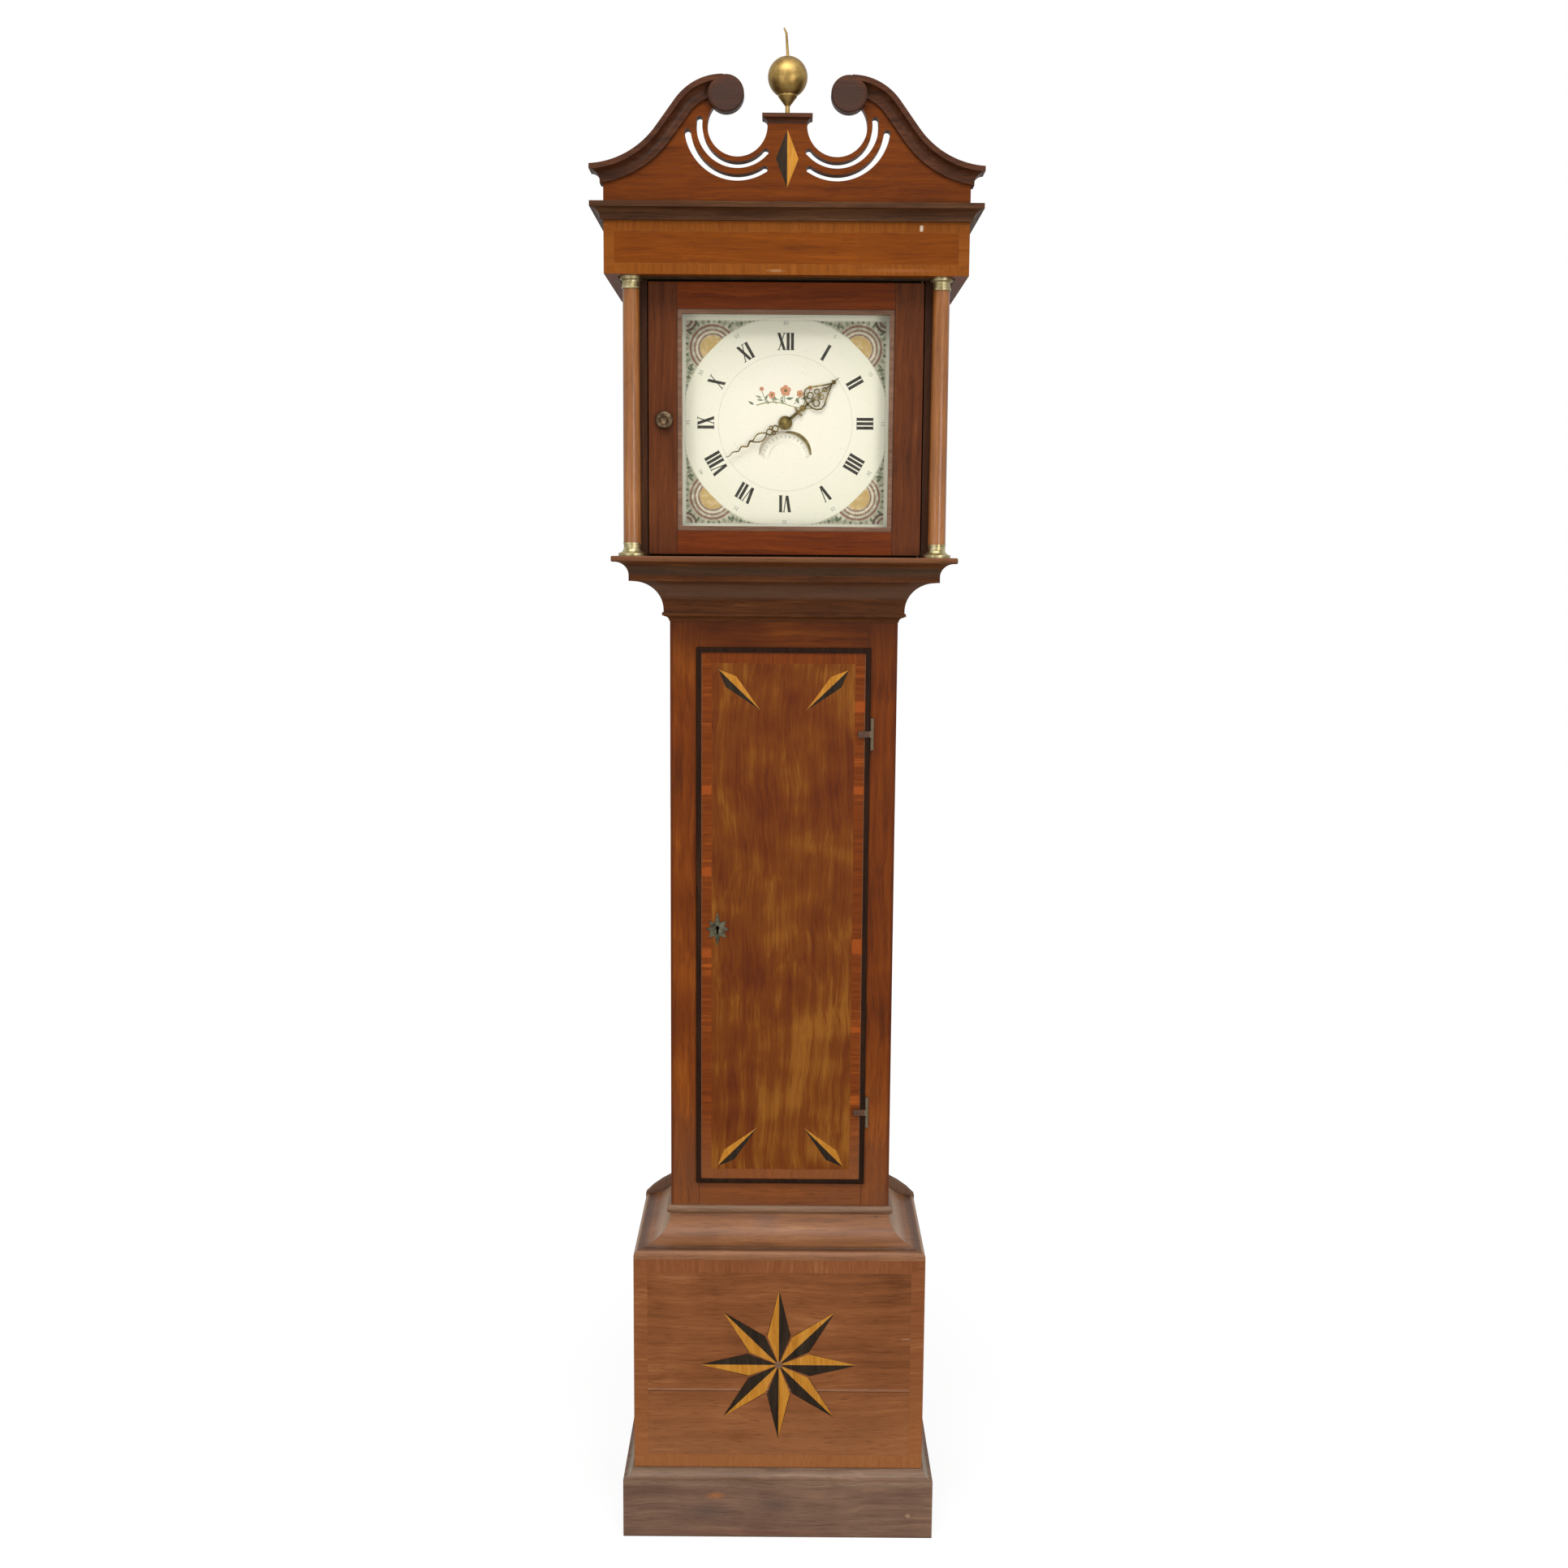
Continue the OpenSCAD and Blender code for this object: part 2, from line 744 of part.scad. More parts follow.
module trunk_door_banding() {
    color(band_wood) difference() {
        on_front(panel_y + veneer_t, veneer_t) door_band_2d();
        on_front(panel_y + veneer_t + 1, veneer_t + 2) keyhole_2d();
    }
}

module trunk_door_kites() {
    color(light_inlay) on_front(panel_y + veneer_t, veneer_t) kites_2d();
}

// Lip moulding: a bead in front of the panel's edge that laps over the stiles and rails
module trunk_door_lip() {
    inner = lip_w - lip_over - joint_gap;
    round_r = 2.2;
    color(dark_wood) difference() {
        union() {
            board(round_r - door_hw, door_hw - round_r, lip_y, lip_back, door_z + round_r,
                  door_z + door_h - round_r);
            board(-door_hw, door_hw, lip_y + round_r, lip_back, door_z, door_z + door_h);
            for (x = [round_r - door_hw, door_hw - round_r])
                translate([x, lip_y + round_r, door_z + round_r])
                    cylinder(r = round_r, h = door_h - 2 * round_r);
            for (z = [door_z + round_r, door_z + door_h - round_r])
                translate([round_r - door_hw, lip_y + round_r, z]) rotate([0, 90, 0])
                    cylinder(r = round_r, h = 2 * (door_hw - round_r));
            for (x = [round_r - door_hw, door_hw - round_r])
                for (z = [door_z + round_r, door_z + door_h - round_r])
                    translate([x, lip_y + round_r, z]) sphere(round_r);
        }
        board(inner - panel_hw, panel_hw - inner, lip_y - 1, lip_back + 1,
              opening_z + joint_gap + inner, opening_top - joint_gap - inner);
        board(-panel_hw, panel_hw, panel_y, lip_back + 1,
              opening_z + joint_gap, opening_top - joint_gap);
    }
}

module escutcheon() {
    plate_y = panel_y - 1;
    color(steel) difference() {
        on_front(panel_y, 1) escutcheon_2d();
        on_front(plate_y + 2, 3) keyhole_2d();
    }
}

bolt_l = 26;
bolt_h = 12;
bolt_t = 4;
bolt_z = key_z + 14;
lock_back = panel_y + door_t;
lock_t = 13;
bolt_y = trunk_y + front_t + 0.4;    // the bolt shoots behind the stile

module lock_case() {
    color(steel) difference() {
        board(-panel_hw, 42 - panel_hw, lock_back, lock_back + lock_t, key_z - 28, key_z + 28);
        board(-panel_hw - 1, bolt_l + 1 - panel_hw, bolt_y - 0.1, bolt_y + bolt_t + 0.1,
              bolt_z - bolt_h / 2 - 0.1, bolt_z + bolt_h / 2 + 0.1);
        on_front(lock_back + lock_t - 3, lock_t) keyhole_2d();
    }
}

module lock_bolt() {
    color(brass) board(0.4 - panel_hw, bolt_l - panel_hw, bolt_y, bolt_y + bolt_t,
                       bolt_z - bolt_h / 2, bolt_z + bolt_h / 2);
}

// Hood

module hood_base() {
    cove_r = 18;
    lip_h = 8;
    lip_r = 2;
    fillet_h = hood_base_h - cove_r - lip_h;
    lip_z = bay_z - lip_h;
    color(dark_wood) difference() {
        mitred(trunk_hw, trunk_y, back_y, -3) {
            difference() {
                strip(hood_base_lip - lip_r, hood_z + fillet_h, bay_z);
                translate([hood_base_fillet + cove_r, hood_z + fillet_h]) circle(cove_r);
                translate([hood_base_fillet + cove_r, hood_z + fillet_h]) square([40, cove_r]);
            }
            strip(hood_base_fillet, hood_z, hood_z + fillet_h);
            strip(hood_base_lip, lip_z + lip_r, bay_z - lip_r);
            translate([hood_base_lip - lip_r, lip_z + lip_r]) circle(lip_r);
            translate([hood_base_lip - lip_r, bay_z - lip_r]) circle(lip_r);
        }
        translate([pivot_x, pivot_y, bay_z - 8]) cylinder(r = pivot_r + run_gap, h = 20);
    }
}

module hood_sides() {
    color(mahogany) pair()
        board(hood_side_in, hood_side_out, hood_side_y, back_y, bay_z, frieze_z);
}

module hood_inner_boards() {
    mask_hw = 146;
    inset = 16;
    color(pine) {
        difference() {
            board(0.5 - hood_side_in, hood_side_in - 0.5, mask_y, mask_y + mask_t, bay_z, frieze_z - hair);
            board(-mask_hw, mask_hw, mask_y - 1, mask_y + mask_t + 1, dial_z - mask_hw - 1, dial_z + mask_hw + 1);
        }
        difference() {
            board(inset - frieze_hw, frieze_hw - inset, frieze_y + inset, back_y, frieze_z, frieze_z + soffit_t);
            board(-170, 170, trunk_y + 10, back_y + 1, frieze_z - 1, frieze_z + soffit_t + 1);
            translate([pivot_x, pivot_y, frieze_z - 1]) cylinder(r = pivot_r + run_gap, h = 8);
        }
        board(inset - frieze_hw, frieze_hw - inset, frieze_y + inset, back_y, pediment_z - 18, pediment_z - 8);
    }
}

module frieze_band_2d() {
    band_w = 14;
    difference() {
        translate([-frieze_hw, frieze_z]) square([frieze_w, frieze_h]);
        translate([band_w - frieze_hw, frieze_z + band_w])
            square([frieze_w - 2 * band_w, frieze_h - 2 * band_w]);
    }
}

module frieze() {
    color(frieze_wood) difference() {
        mitred(frieze_hw, frieze_y, back_y, 16) strip(0, frieze_z, pediment_z - 8);
        on_front(frieze_y + veneer_t, veneer_t + 1) frieze_band_2d();
    }
}

module frieze_banding() {
    color(band_wood) on_front(frieze_y + veneer_t, veneer_t) frieze_band_2d();
}

// Lip and cove, x outward and y up from the foot of the moulding
module cornice_profile(height) {
    lip_h = 7;
    cove_r = cornice_out - 4;
    difference() {
        strip(cornice_out, cornice_z, cornice_z + height);
        translate([cornice_out, cornice_z + height - lip_h - cove_r]) circle(cove_r);
        translate([cornice_out - cove_r, cornice_z - 40])
            square([cove_r + 1, 40 + height - lip_h - cove_r]);
    }
}

module cornice() {
    color(dark_wood) mitred(frieze_hw, frieze_y, back_y, 0) cornice_profile(cornice_h);
}

// Outline of everything under the top edge of the right swan neck, drawn in by d
module under_swan_2d(d) {
    step = 3;
    polygon(concat(
        [[0, pediment_z], [0, pediment_z + scroll_top - d]],
        [for (a = [0 : step : swan_slope])
            [swan_arc_x + (swan_arc_r - d) * sin(a), swan_arc_z + (swan_arc_r - d) * cos(a)]],
        [for (a = [swan_slope : -step : 16])
            [foot_arc_x - (swan_foot_r + d) * sin(a), foot_arc_z - (swan_foot_r + d) * cos(a)]],
        [[frieze_hw, foot_z - d], [frieze_hw, pediment_z]]
    ));
}

// A curved slot of the fret, between two angles, with round ends
module fret_slot_2d(r, from, to) {
    translate([fret_x, fret_z]) {
        difference() {
            circle(r + slot_w / 2);
            circle(r - slot_w / 2);
            rotate(from - 180) square([200, 200]);
            rotate(from - 90) square([200, 200]);
            rotate(to) square([200, 200]);
        }
        for (a = [from, to]) rotate(a) translate([r, 0]) circle(slot_w * 0.53);
    }
}

inner_slot_r = fret_r + 6.5 + slot_w / 2;
outer_slot_r = inner_slot_r + slot_w + 8;

module pediment_half_2d() {
    difference() {
        under_swan_2d(3);
        translate([fret_x, fret_z]) circle(fret_r);
        translate([pedestal_hw + 0.6, fret_z]) square([fret_r - 0.6, 300]);
        translate([0, cap_z]) square([pedestal_hw + 1, 300]);
        fret_slot_2d(inner_slot_r, 222, 368);
        fret_slot_2d(outer_slot_r, 237, 352);
    }
}

module diamond_2d() {
    diamond_hw = 14.9;
    diamond_hh = 37;
    translate([0, fret_z - 42]) for (s = [-1, 1])
        polygon([[s * hair / 2, -diamond_hh], [s * diamond_hw, 0], [s * hair / 2, diamond_hh]]);
}

module pediment_board() {
    color(mahogany) difference() {
        on_front(frieze_y + pediment_t, pediment_t) {
            pediment_half_2d();
            mirror([1, 0]) pediment_half_2d();
        }
        on_front(frieze_y + veneer_t, veneer_t + 1) diamond_2d();
    }
}

module pediment_diamond() {
    color(light_inlay) on_front(frieze_y + veneer_t, veneer_t) diamond_2d();
}

module pediment_cap() {
    plate_h = 5;
    cove_r = cap_h - plate_h;
    color(dark_wood) difference() {
        board(-pedestal_hw - cap_out, pedestal_hw + cap_out, frieze_y - cap_out,
              frieze_y + pediment_t + 2, cap_z, cap_top);
        pair() translate([pedestal_hw + cap_out, 0, cap_z]) rotate([90, 0, 0])
            cylinder(r = cove_r, h = 400, center = true);
        translate([0, frieze_y - cap_out, cap_z]) rotate([0, 90, 0])
            cylinder(r = cove_r, h = 400, center = true);
        translate([0, finial_y, cap_z + 2]) cylinder(r = 3, h = cap_h);
    }
}

// Profile of the swan-neck moulding: x in from its top edge, y out from the board
module swan_profile() {
    lip_w = 7;
    cove_r = cornice_out - 4;
    difference() {
        square([swan_w, cornice_out]);
        translate([lip_w + cove_r, cornice_out]) circle(cove_r);
        translate([lip_w + cove_r, 4]) square([40, 40]);
    }
}

// Side face of the moulding's end, x outward from the pediment's side and y the height
module swan_end_2d() {
    difference() {
        translate([0, foot_z - swan_w]) square([cornice_out, swan_w + 12]);
        translate([cornice_out, foot_z - 20]) circle(cornice_out - 4);
        translate([4, foot_z - 60]) square([40, 40]);
    }
}

module swan_neck() {
    // convex arc over the scroll
    translate([swan_arc_x, frieze_y, swan_arc_z]) rotate([90, 0, 0])
        rotate(90.1 - swan_slope) rotate_extrude(angle = swan_slope - 0.1)
            translate([swan_arc_r, 0]) mirror([1, 0]) swan_profile();
    // straight stretch
    translate([run_x, frieze_y, run_z]) rotate([0, swan_slope, 0]) mirror([0, 1, 0])
        rotate([90, 0, 90]) linear_extrude(swan_run - hair) rotate(-90) swan_profile();
    // hollow arc, then its end past the board's side
    for (end = [false, true]) intersection() {
        translate([foot_arc_x, frieze_y, foot_arc_z]) rotate([90, 0, 0])
            rotate(270 - swan_slope) rotate_extrude(angle = swan_slope + 6)
                translate([swan_foot_r, 0]) swan_profile();
        if (end) translate([frieze_hw + hair, frieze_y + 1, 0]) rotate([90, 0, 0])
            linear_extrude(cornice_out + 2) swan_end_2d();
        else board(run_end_x - 40, frieze_hw, frieze_y - cornice_out - 1, frieze_y + 1, pediment_z, foot_z + 200);
    }
    // return along the side of the board
    translate([frieze_hw + hair, frieze_y + pediment_t, 0]) rotate([90, 0, 0])
        linear_extrude(pediment_t - hair) intersection() {
            swan_end_2d();
            translate([-1, 0]) square([60, foot_z - 1]);
        }
    // scroll
    translate([scroll_x, frieze_y, scroll_z]) rotate([90, 0, 0]) {
        cylinder(r = scroll_r, h = cornice_out - 1.5);
        cylinder(r = scroll_r - 1.5, h = cornice_out);
    }
}

module swan_necks() {
    color(dark_wood) pair() swan_neck();
}

module finial() {
    ball_y = ball_z - cap_top;
    cone_z = 12.5;
    cone_r = ball_r * 0.48;
    collar_z = ball_y - ball_r * 0.85;
    bend_z = spike_h * 0.8;
    color(brass) translate([0, finial_y, cap_top]) {
        translate([0, 0, -9]) cylinder(r = 2.8, h = 12);
        rotate_extrude() difference() {
            union() {
                square([3, ball_y]);
                square([5, 1.5]);
                polygon([[0, cone_z], [3.6, cone_z], [cone_r, collar_z - 2.5], [cone_r, collar_z], [0, collar_z]]);
                translate([0, ball_y]) circle(ball_r);
            }
            translate([-100, -100]) square([100, 300]);
        }
        translate([0, 0, ball_y + ball_r - 1]) rotate([0, -spike_lean, 0]) {
            translate([0, 0, -1]) cylinder(r1 = 3.4, r2 = 1.2, h = 5);
            cylinder(r1 = 2, r2 = 1.4, h = bend_z);
            translate([0, 0, bend_z]) sphere(1.7);
            translate([0, 0, bend_z]) rotate([0, -20, 0]) cylinder(r1 = 1.4, r2 = 1.1, h = spike_h - bend_z);
        }
    }
}

module columns() {
    color(oak) pair() translate([column_x, column_y, bay_z + column_base_h])
        cylinder(r1 = column_r + 0.8, r2 = column_r, h = hood_bay_h - column_base_h - column_cap_h);
}

// Turned base, flared at the foot
module column_foot_2d() {
    flare_r = column_foot_r - column_r - 0.5;
    difference() {
        union() {
            square([column_foot_r, 4]);
            square([column_r + 0.5 + flare_r, column_base_h - 2]);
            square([column_r + 1.2, column_base_h]);
        }
        translate([column_foot_r, 4 + flare_r]) circle(flare_r);
        translate([column_r + 0.5, 4 + flare_r]) square([20, column_base_h - 6 - flare_r]);
    }
}

// Turned capital, wider at the top
module column_cap_2d() {
    cap_r = 15;
    cove_r = cap_r - column_r - 0.5;
    difference() {
        union() {
            square([cap_r, column_cap_h]);
            square([column_r + 1.5, 3]);
        }
        translate([cap_r, column_cap_h - 4 - cove_r]) circle(cove_r);
        translate([column_r + 0.5, 3]) square([20, column_cap_h - 7 - cove_r]);
        translate([column_r + 1.5, -1]) square([20, 5]);
    }
}

module column_brasses() {
    color(brass) pair() translate([column_x, column_y, bay_z]) {
        rotate_extrude() column_foot_2d();
        translate([0, 0, hood_bay_h - column_cap_h]) rotate_extrude() column_cap_2d();
    }
}

// Hood door

module hood_door_frame() {
    color(mahogany) difference() {
        board(-hood_door_hw, hood_door_hw, hood_door_y, hood_door_back, hood_door_z, hood_door_top);
        board(-window_hw, window_hw, hood_door_y - 1, hood_door_back + 1, window_z, window_top);
        board(-window_hw - rebate, window_hw + rebate, glass_y, hood_door_back + 1,
              window_z - rebate, window_top + rebate);
        for (z = [hood_door_z - 1, hood_door_top - 14])
            translate([pivot_x, pivot_y, z]) cylinder(r = pivot_r, h = 15);
        translate([-knob_x, hood_door_y - 1, dial_z]) rotate([-90, 0, 0]) cylinder(r = 3, h = 11);
    }
}

module hood_door_bead() {
    bead_y = hood_door_y + 2;
    color(dark_wood) difference() {
        board(-window_hw, window_hw, bead_y, glass_y, window_z, window_top);
        board(bead_w - window_hw, window_hw - bead_w, bead_y - 1, glass_y + 1,
              window_z + bead_w, window_top - bead_w);
    }
}

module hood_door_glass() {
    edge = rebate - 0.5;
    color("#dfe8e4", 0.35) board(-window_hw - edge, window_hw + edge, glass_y, glass_y + glass_t,
                                 window_z - edge, window_top + edge);
}

module hood_door_brasses() {
    color(brass) {
        translate([pivot_x, pivot_y, hood_door_top - 14]) cylinder(r = pivot_r, h = 14 + 8);
        translate([pivot_x, pivot_y, hood_door_z - 9]) cylinder(r = pivot_r, h = 9 + 14);
        translate([-knob_x, hood_door_y, dial_z]) rotate([90, 0, 0]) {
            translate([0, 0, -10]) cylinder(r = 3, h = 11);
            rotate_extrude() difference() {
                union() {
                    square([6, 3]);
                    translate([0, 2]) square([knob_r - 2, 7]);
                    translate([knob_r - 3, 6]) circle(3);
                }
                translate([-50, -10]) square([50, 50]);
                translate([0, 14]) circle(8);
            }
        }
    }
}

// Dial

module date_slot_2d() {
    half_angle = 76;
    translate([0, dial_z - date_drop]) {
        difference() {
            circle(date_ring_r + date_slot_w / 2);
            circle(date_ring_r - date_slot_w / 2);
            rotate(90 + half_angle) square([200, 200]);
            rotate(-half_angle) square([200, 200]);
            rotate(225) square([200, 200]);
        }
        for (a = [90 - half_angle, 90 + half_angle])
            rotate(a) translate([date_ring_r, 0]) circle(date_slot_w * 0.53);
    }
}

module dial_plate() {
    half = dial_w / 2;
    color(cream) difference() {
        on_front(dial_back, dial_t) difference() {
            translate([-half, dial_z - half]) square(dial_w);
            translate([0, dial_z]) circle(pipe_r + 2);
            date_slot_2d();
        }
    }
}

// Hands: a wavy blade with pierced scrolls, drawn along +Y from the centre
module blade_2d(length, boss) {
    steps = 40;
    start = 0.34 * length;
    blade = length - start;
    difference() {
        union() {
            circle(boss);
            translate([-2, 0]) square([4, start + 2]);
            translate([0, start * 0.72]) circle(length * 0.075);
            translate([0, start * 1.12]) circle(length * 0.055);
            polygon(concat(
                [for (i = [0 : steps]) let (t = i / steps)
                    [2.4 * sin(t * 540) * (1 - 0.5 * t) + 1.9 - 1.2 * t, start + t * blade]],
                [for (i = [steps : -1 : 0]) let (t = i / steps)
                    [2.4 * sin(t * 540) * (1 - 0.5 * t) - 1.9 + 1.2 * t, start + t * blade]]
            ));
        }
        translate([0, start * 0.72]) circle(length * 0.038);
        translate([0, start * 1.12]) circle(length * 0.022);
    }
}

module hour_blade_2d() {
    head = 0.62 * hour_l;
    difference() {
        union() {
            circle(9);
            translate([-2.4, 0]) square([4.8, head]);
            translate([0, head]) circle(11);
            for (s = [-1, 1]) translate([s * 9, head - 9]) circle(6.5);
            translate([0, head + 14]) circle(6.5);
            polygon([[-4, head + 14], [0, hour_l], [4, head + 14]]);
        }
        translate([0, head]) circle(5);
        for (s = [-1, 1]) translate([s * 9, head - 9]) circle(3.4);
        translate([0, head + 14]) circle(2.8);
    }
}

module hand_plate(y, angle) {
    translate([0, y + hand_t, dial_z]) rotate([90, 0, 0]) linear_extrude(hand_t)
        rotate(-angle) children();
}

module minute_hand() {
    color(brass) difference() {
        union() {
            hand_plate(minute_y, minute_angle) blade_2d(minute_l, 7);
            along_y([0, 0], minute_y - 2, minute_y, 5);
        }
        along_y([0, 0], minute_y - 3, minute_y + 3, 2);
    }
}

module hour_hand() {
    wheel_y = front_plate_y - 13.5;
    color(brass) difference() {
        union() {
            hand_plate(hour_y, hour_angle) hour_blade_2d();
            along_y([0, 0], hour_y, wheel_y + 4, pipe_r);
            geared([0, 0], wheel_y, 2, hour_phase) wheel_2d(hour_m, hour_n, 3, 9, 4);
        }
        along_y([0, 0], hour_y - 2, wheel_y + 6, pipe_bore);
    }
}

// Going train

module centre_arbor() {
    color(brass) {
        geared([0, 0], front_plate_y - 6, 2, 0) wheel_2d(cannon_m, cannon_n, 2.5, 6, 3);
        geared([0, 0], front_plate_y + 10, 2, 0) wheel_2d(centre_m, centre_n, 3, 6, 4);
        geared([0, 0], front_plate_y + 47, 4.6, 0) gear_2d(great_m, pinion_n);
        along_y([0, 0], minute_y + hand_t + 0.1, front_plate_y - 4, cannon_r);
        along_y([0, 0], minute_y - 3, minute_y + 2, 2);
        along_y([0, 0], front_plate_y - 5, front_plate_y + plate_t + 0.4, 2.5);
        along_y([0, 0], front_plate_y + plate_t + 0.4, back_plate_y - 0.4, arbor_r);
        along_y([0, 0], back_plate_y - 1, back_plate_back, gudgeon_r);
    }
}

module minute_wheel() {
    color(brass) difference() {
        union() {
            geared(minute_at, front_plate_y - 6, 2, minute_phase)
                wheel_2d(cannon_m, cannon_n, 2.5, 4, 3);
            geared(minute_at, front_plate_y - 14.5, 9, minute_phase) gear_2d(hour_m, hour_leaves);
        }
        along_y(minute_at, front_plate_y - 20, front_plate_y, 1 + run_gap);
    }
}

module date_disc() {
    color(cream) difference() {
        along_y(date_at, date_disc_y, date_disc_y + 1, date_disc_r);
        along_y(date_at, date_disc_y - 1, date_disc_y + 2, date_stud_r + run_gap);
    }
}

// Rope sprocket: two flanges, a core and a ring of spikes left out between them
module sprocket(at) {
    along_y(at, rope_y - 5.5, rope_y - 4, sprocket_r + 3);
    along_y(at, rope_y + 4, rope_y + 5.5, sprocket_r + 3);
    along_y(at, rope_y - 5.5, rope_y + 5.5, sprocket_r - rope_r - 0.5);
}

module great_wheel() {
    color(brass) {
        geared(great_at, front_plate_y + 48, 3, great_phase) wheel_2d(great_m, great_n, 4, 10, 6);
        sprocket(great_at);
        arbor(great_at);
    }
}

module strike_wheel() {
    wheel_y = front_plate_y + 53;
    pin_circle = great_m * great_n / 2 - 4;
    color(brass) {
        geared(strike_at, wheel_y, 3, 0) wheel_2d(great_m, great_n, 5, 10, 6);
        for (i = [0 : 12]) rotate([0, 0, 0])
            along_y(strike_at + pin_circle * [cos(i * 360 / 13), sin(i * 360 / 13)], wheel_y - 4, wheel_y + 1, 1.2);
        sprocket(strike_at);
        arbor(strike_at);
    }
}

module third_wheel() {
    color(brass) {
        geared(third_at, front_plate_y + 8, 6, third_phase) gear_2d(centre_m, pinion_n);
        geared(third_at, front_plate_y + 26, 2, third_phase) wheel_2d(third_m, third_n, 2.5, 5, 3);
        arbor(third_at);
    }
}

// Escape wheel teeth are slim and lean to one side
module escape_2d() {
    pitch = 360 / escape_n;
    root = escape_r - 4.5;
    difference() {
        union() {
            circle(root);
            for (i = [0 : escape_n - 1]) rotate(i * pitch) polygon([
                [root - 0.5, -1.3], [escape_r, 0.4], [escape_r, 1], [root - 0.5, 1.1]
            ]);
        }
        circle(root - 2.5);
    }
    circle(4.5);
    for (a = [0, 90]) rotate(a) square([2 * root - 4, 2.5], center = true);
}

module escape_wheel() {
    color(brass) {
        geared(escape_at, front_plate_y + 24, 5.5, escape_phase) gear_2d(third_m, escape_leaves);
        geared(escape_at, front_plate_y + 38, 1.5, 0) escape_2d();
        arbor(escape_at);
    }
}

module anchor() {
    pallet_y = front_plate_y + 37.5;
    rise = anchor_at[1] - escape_at[1];
    crutch_y = back_plate_back + 2.5;
    crutch_l = 94;
    fork_y = pendulum_y + 8;
    color(steel) {
        geared(escape_at, pallet_y, 2.5, 0) {
            difference() {
                circle(rise + 2.5);
                circle(rise - 3);
                rotate(130) square([100, 100]);
                rotate(-40) square([100, 100]);
                rotate(-130) square([200, 200]);
                rotate(220) square([200, 200]);
            }
            for (a = [52, 128]) rotate(a) polygon([
                [escape_r + 2.2, -1], [rise, -2], [rise, 2.5], [escape_r + 2.2, 0.2]
            ]);
        }
        along_y(anchor_at, front_plate_y + plate_t + 0.4, crutch_y + 3, arbor_r);
        along_y(anchor_at, front_plate_y, back_plate_back + 10, gudgeon_r);
        translate([-2.5, crutch_y, pendulum_z - crutch_l]) cube([5, 3, crutch_l]);
        translate([0, crutch_y, pendulum_z - crutch_l]) for (s = [-1, 1])
            translate([s * (rod_r + 0.4 + 1) - 1, 0, -3]) cube([2, fork_y - crutch_y, 6]);
        translate([-rod_r - 2.4, crutch_y, pendulum_z - crutch_l - 3]) cube([2 * rod_r + 4.8, 3, 6]);
    }
}

module pendulum_rod() {
    top_z = pendulum_z - 6;
    color(steel) translate([0, pendulum_y, 0]) {
        translate([0, 0, bob_z - bob_r - 18]) cylinder(r = rod_r, h = top_z - bob_z + bob_r + 18);
        translate([-4, -4, top_z - 10]) cube([8, 8, 10]);
        translate([-0.4, -3.5, top_z - 1]) cube([0.8, 7, pendulum_z + 3.7 - top_z]);
        translate([0, 0, bob_z - bob_r - 13]) cylinder(r = 7, h = 6);
    }
}

// Lens-shaped bob with a bore for the rod
module pendulum_bob() {
    lens_r = (bob_r * bob_r + bob_t * bob_t / 4) / bob_t;
    color(lead) difference() {
        translate([0, pendulum_y, bob_z]) rotate([90, 0, 0]) rotate_extrude() intersection() {
            translate([0, lens_r - bob_t / 2]) circle(lens_r, $fn = 360);
            translate([0, bob_t / 2 - lens_r]) circle(lens_r, $fn = 360);
            translate([0, -bob_t]) square([bob_r - 1, 2 * bob_t]);
        }
        translate([0, pendulum_y, bob_z - 100]) cylinder(r = rod_r + run_gap, h = 200);
    }
}

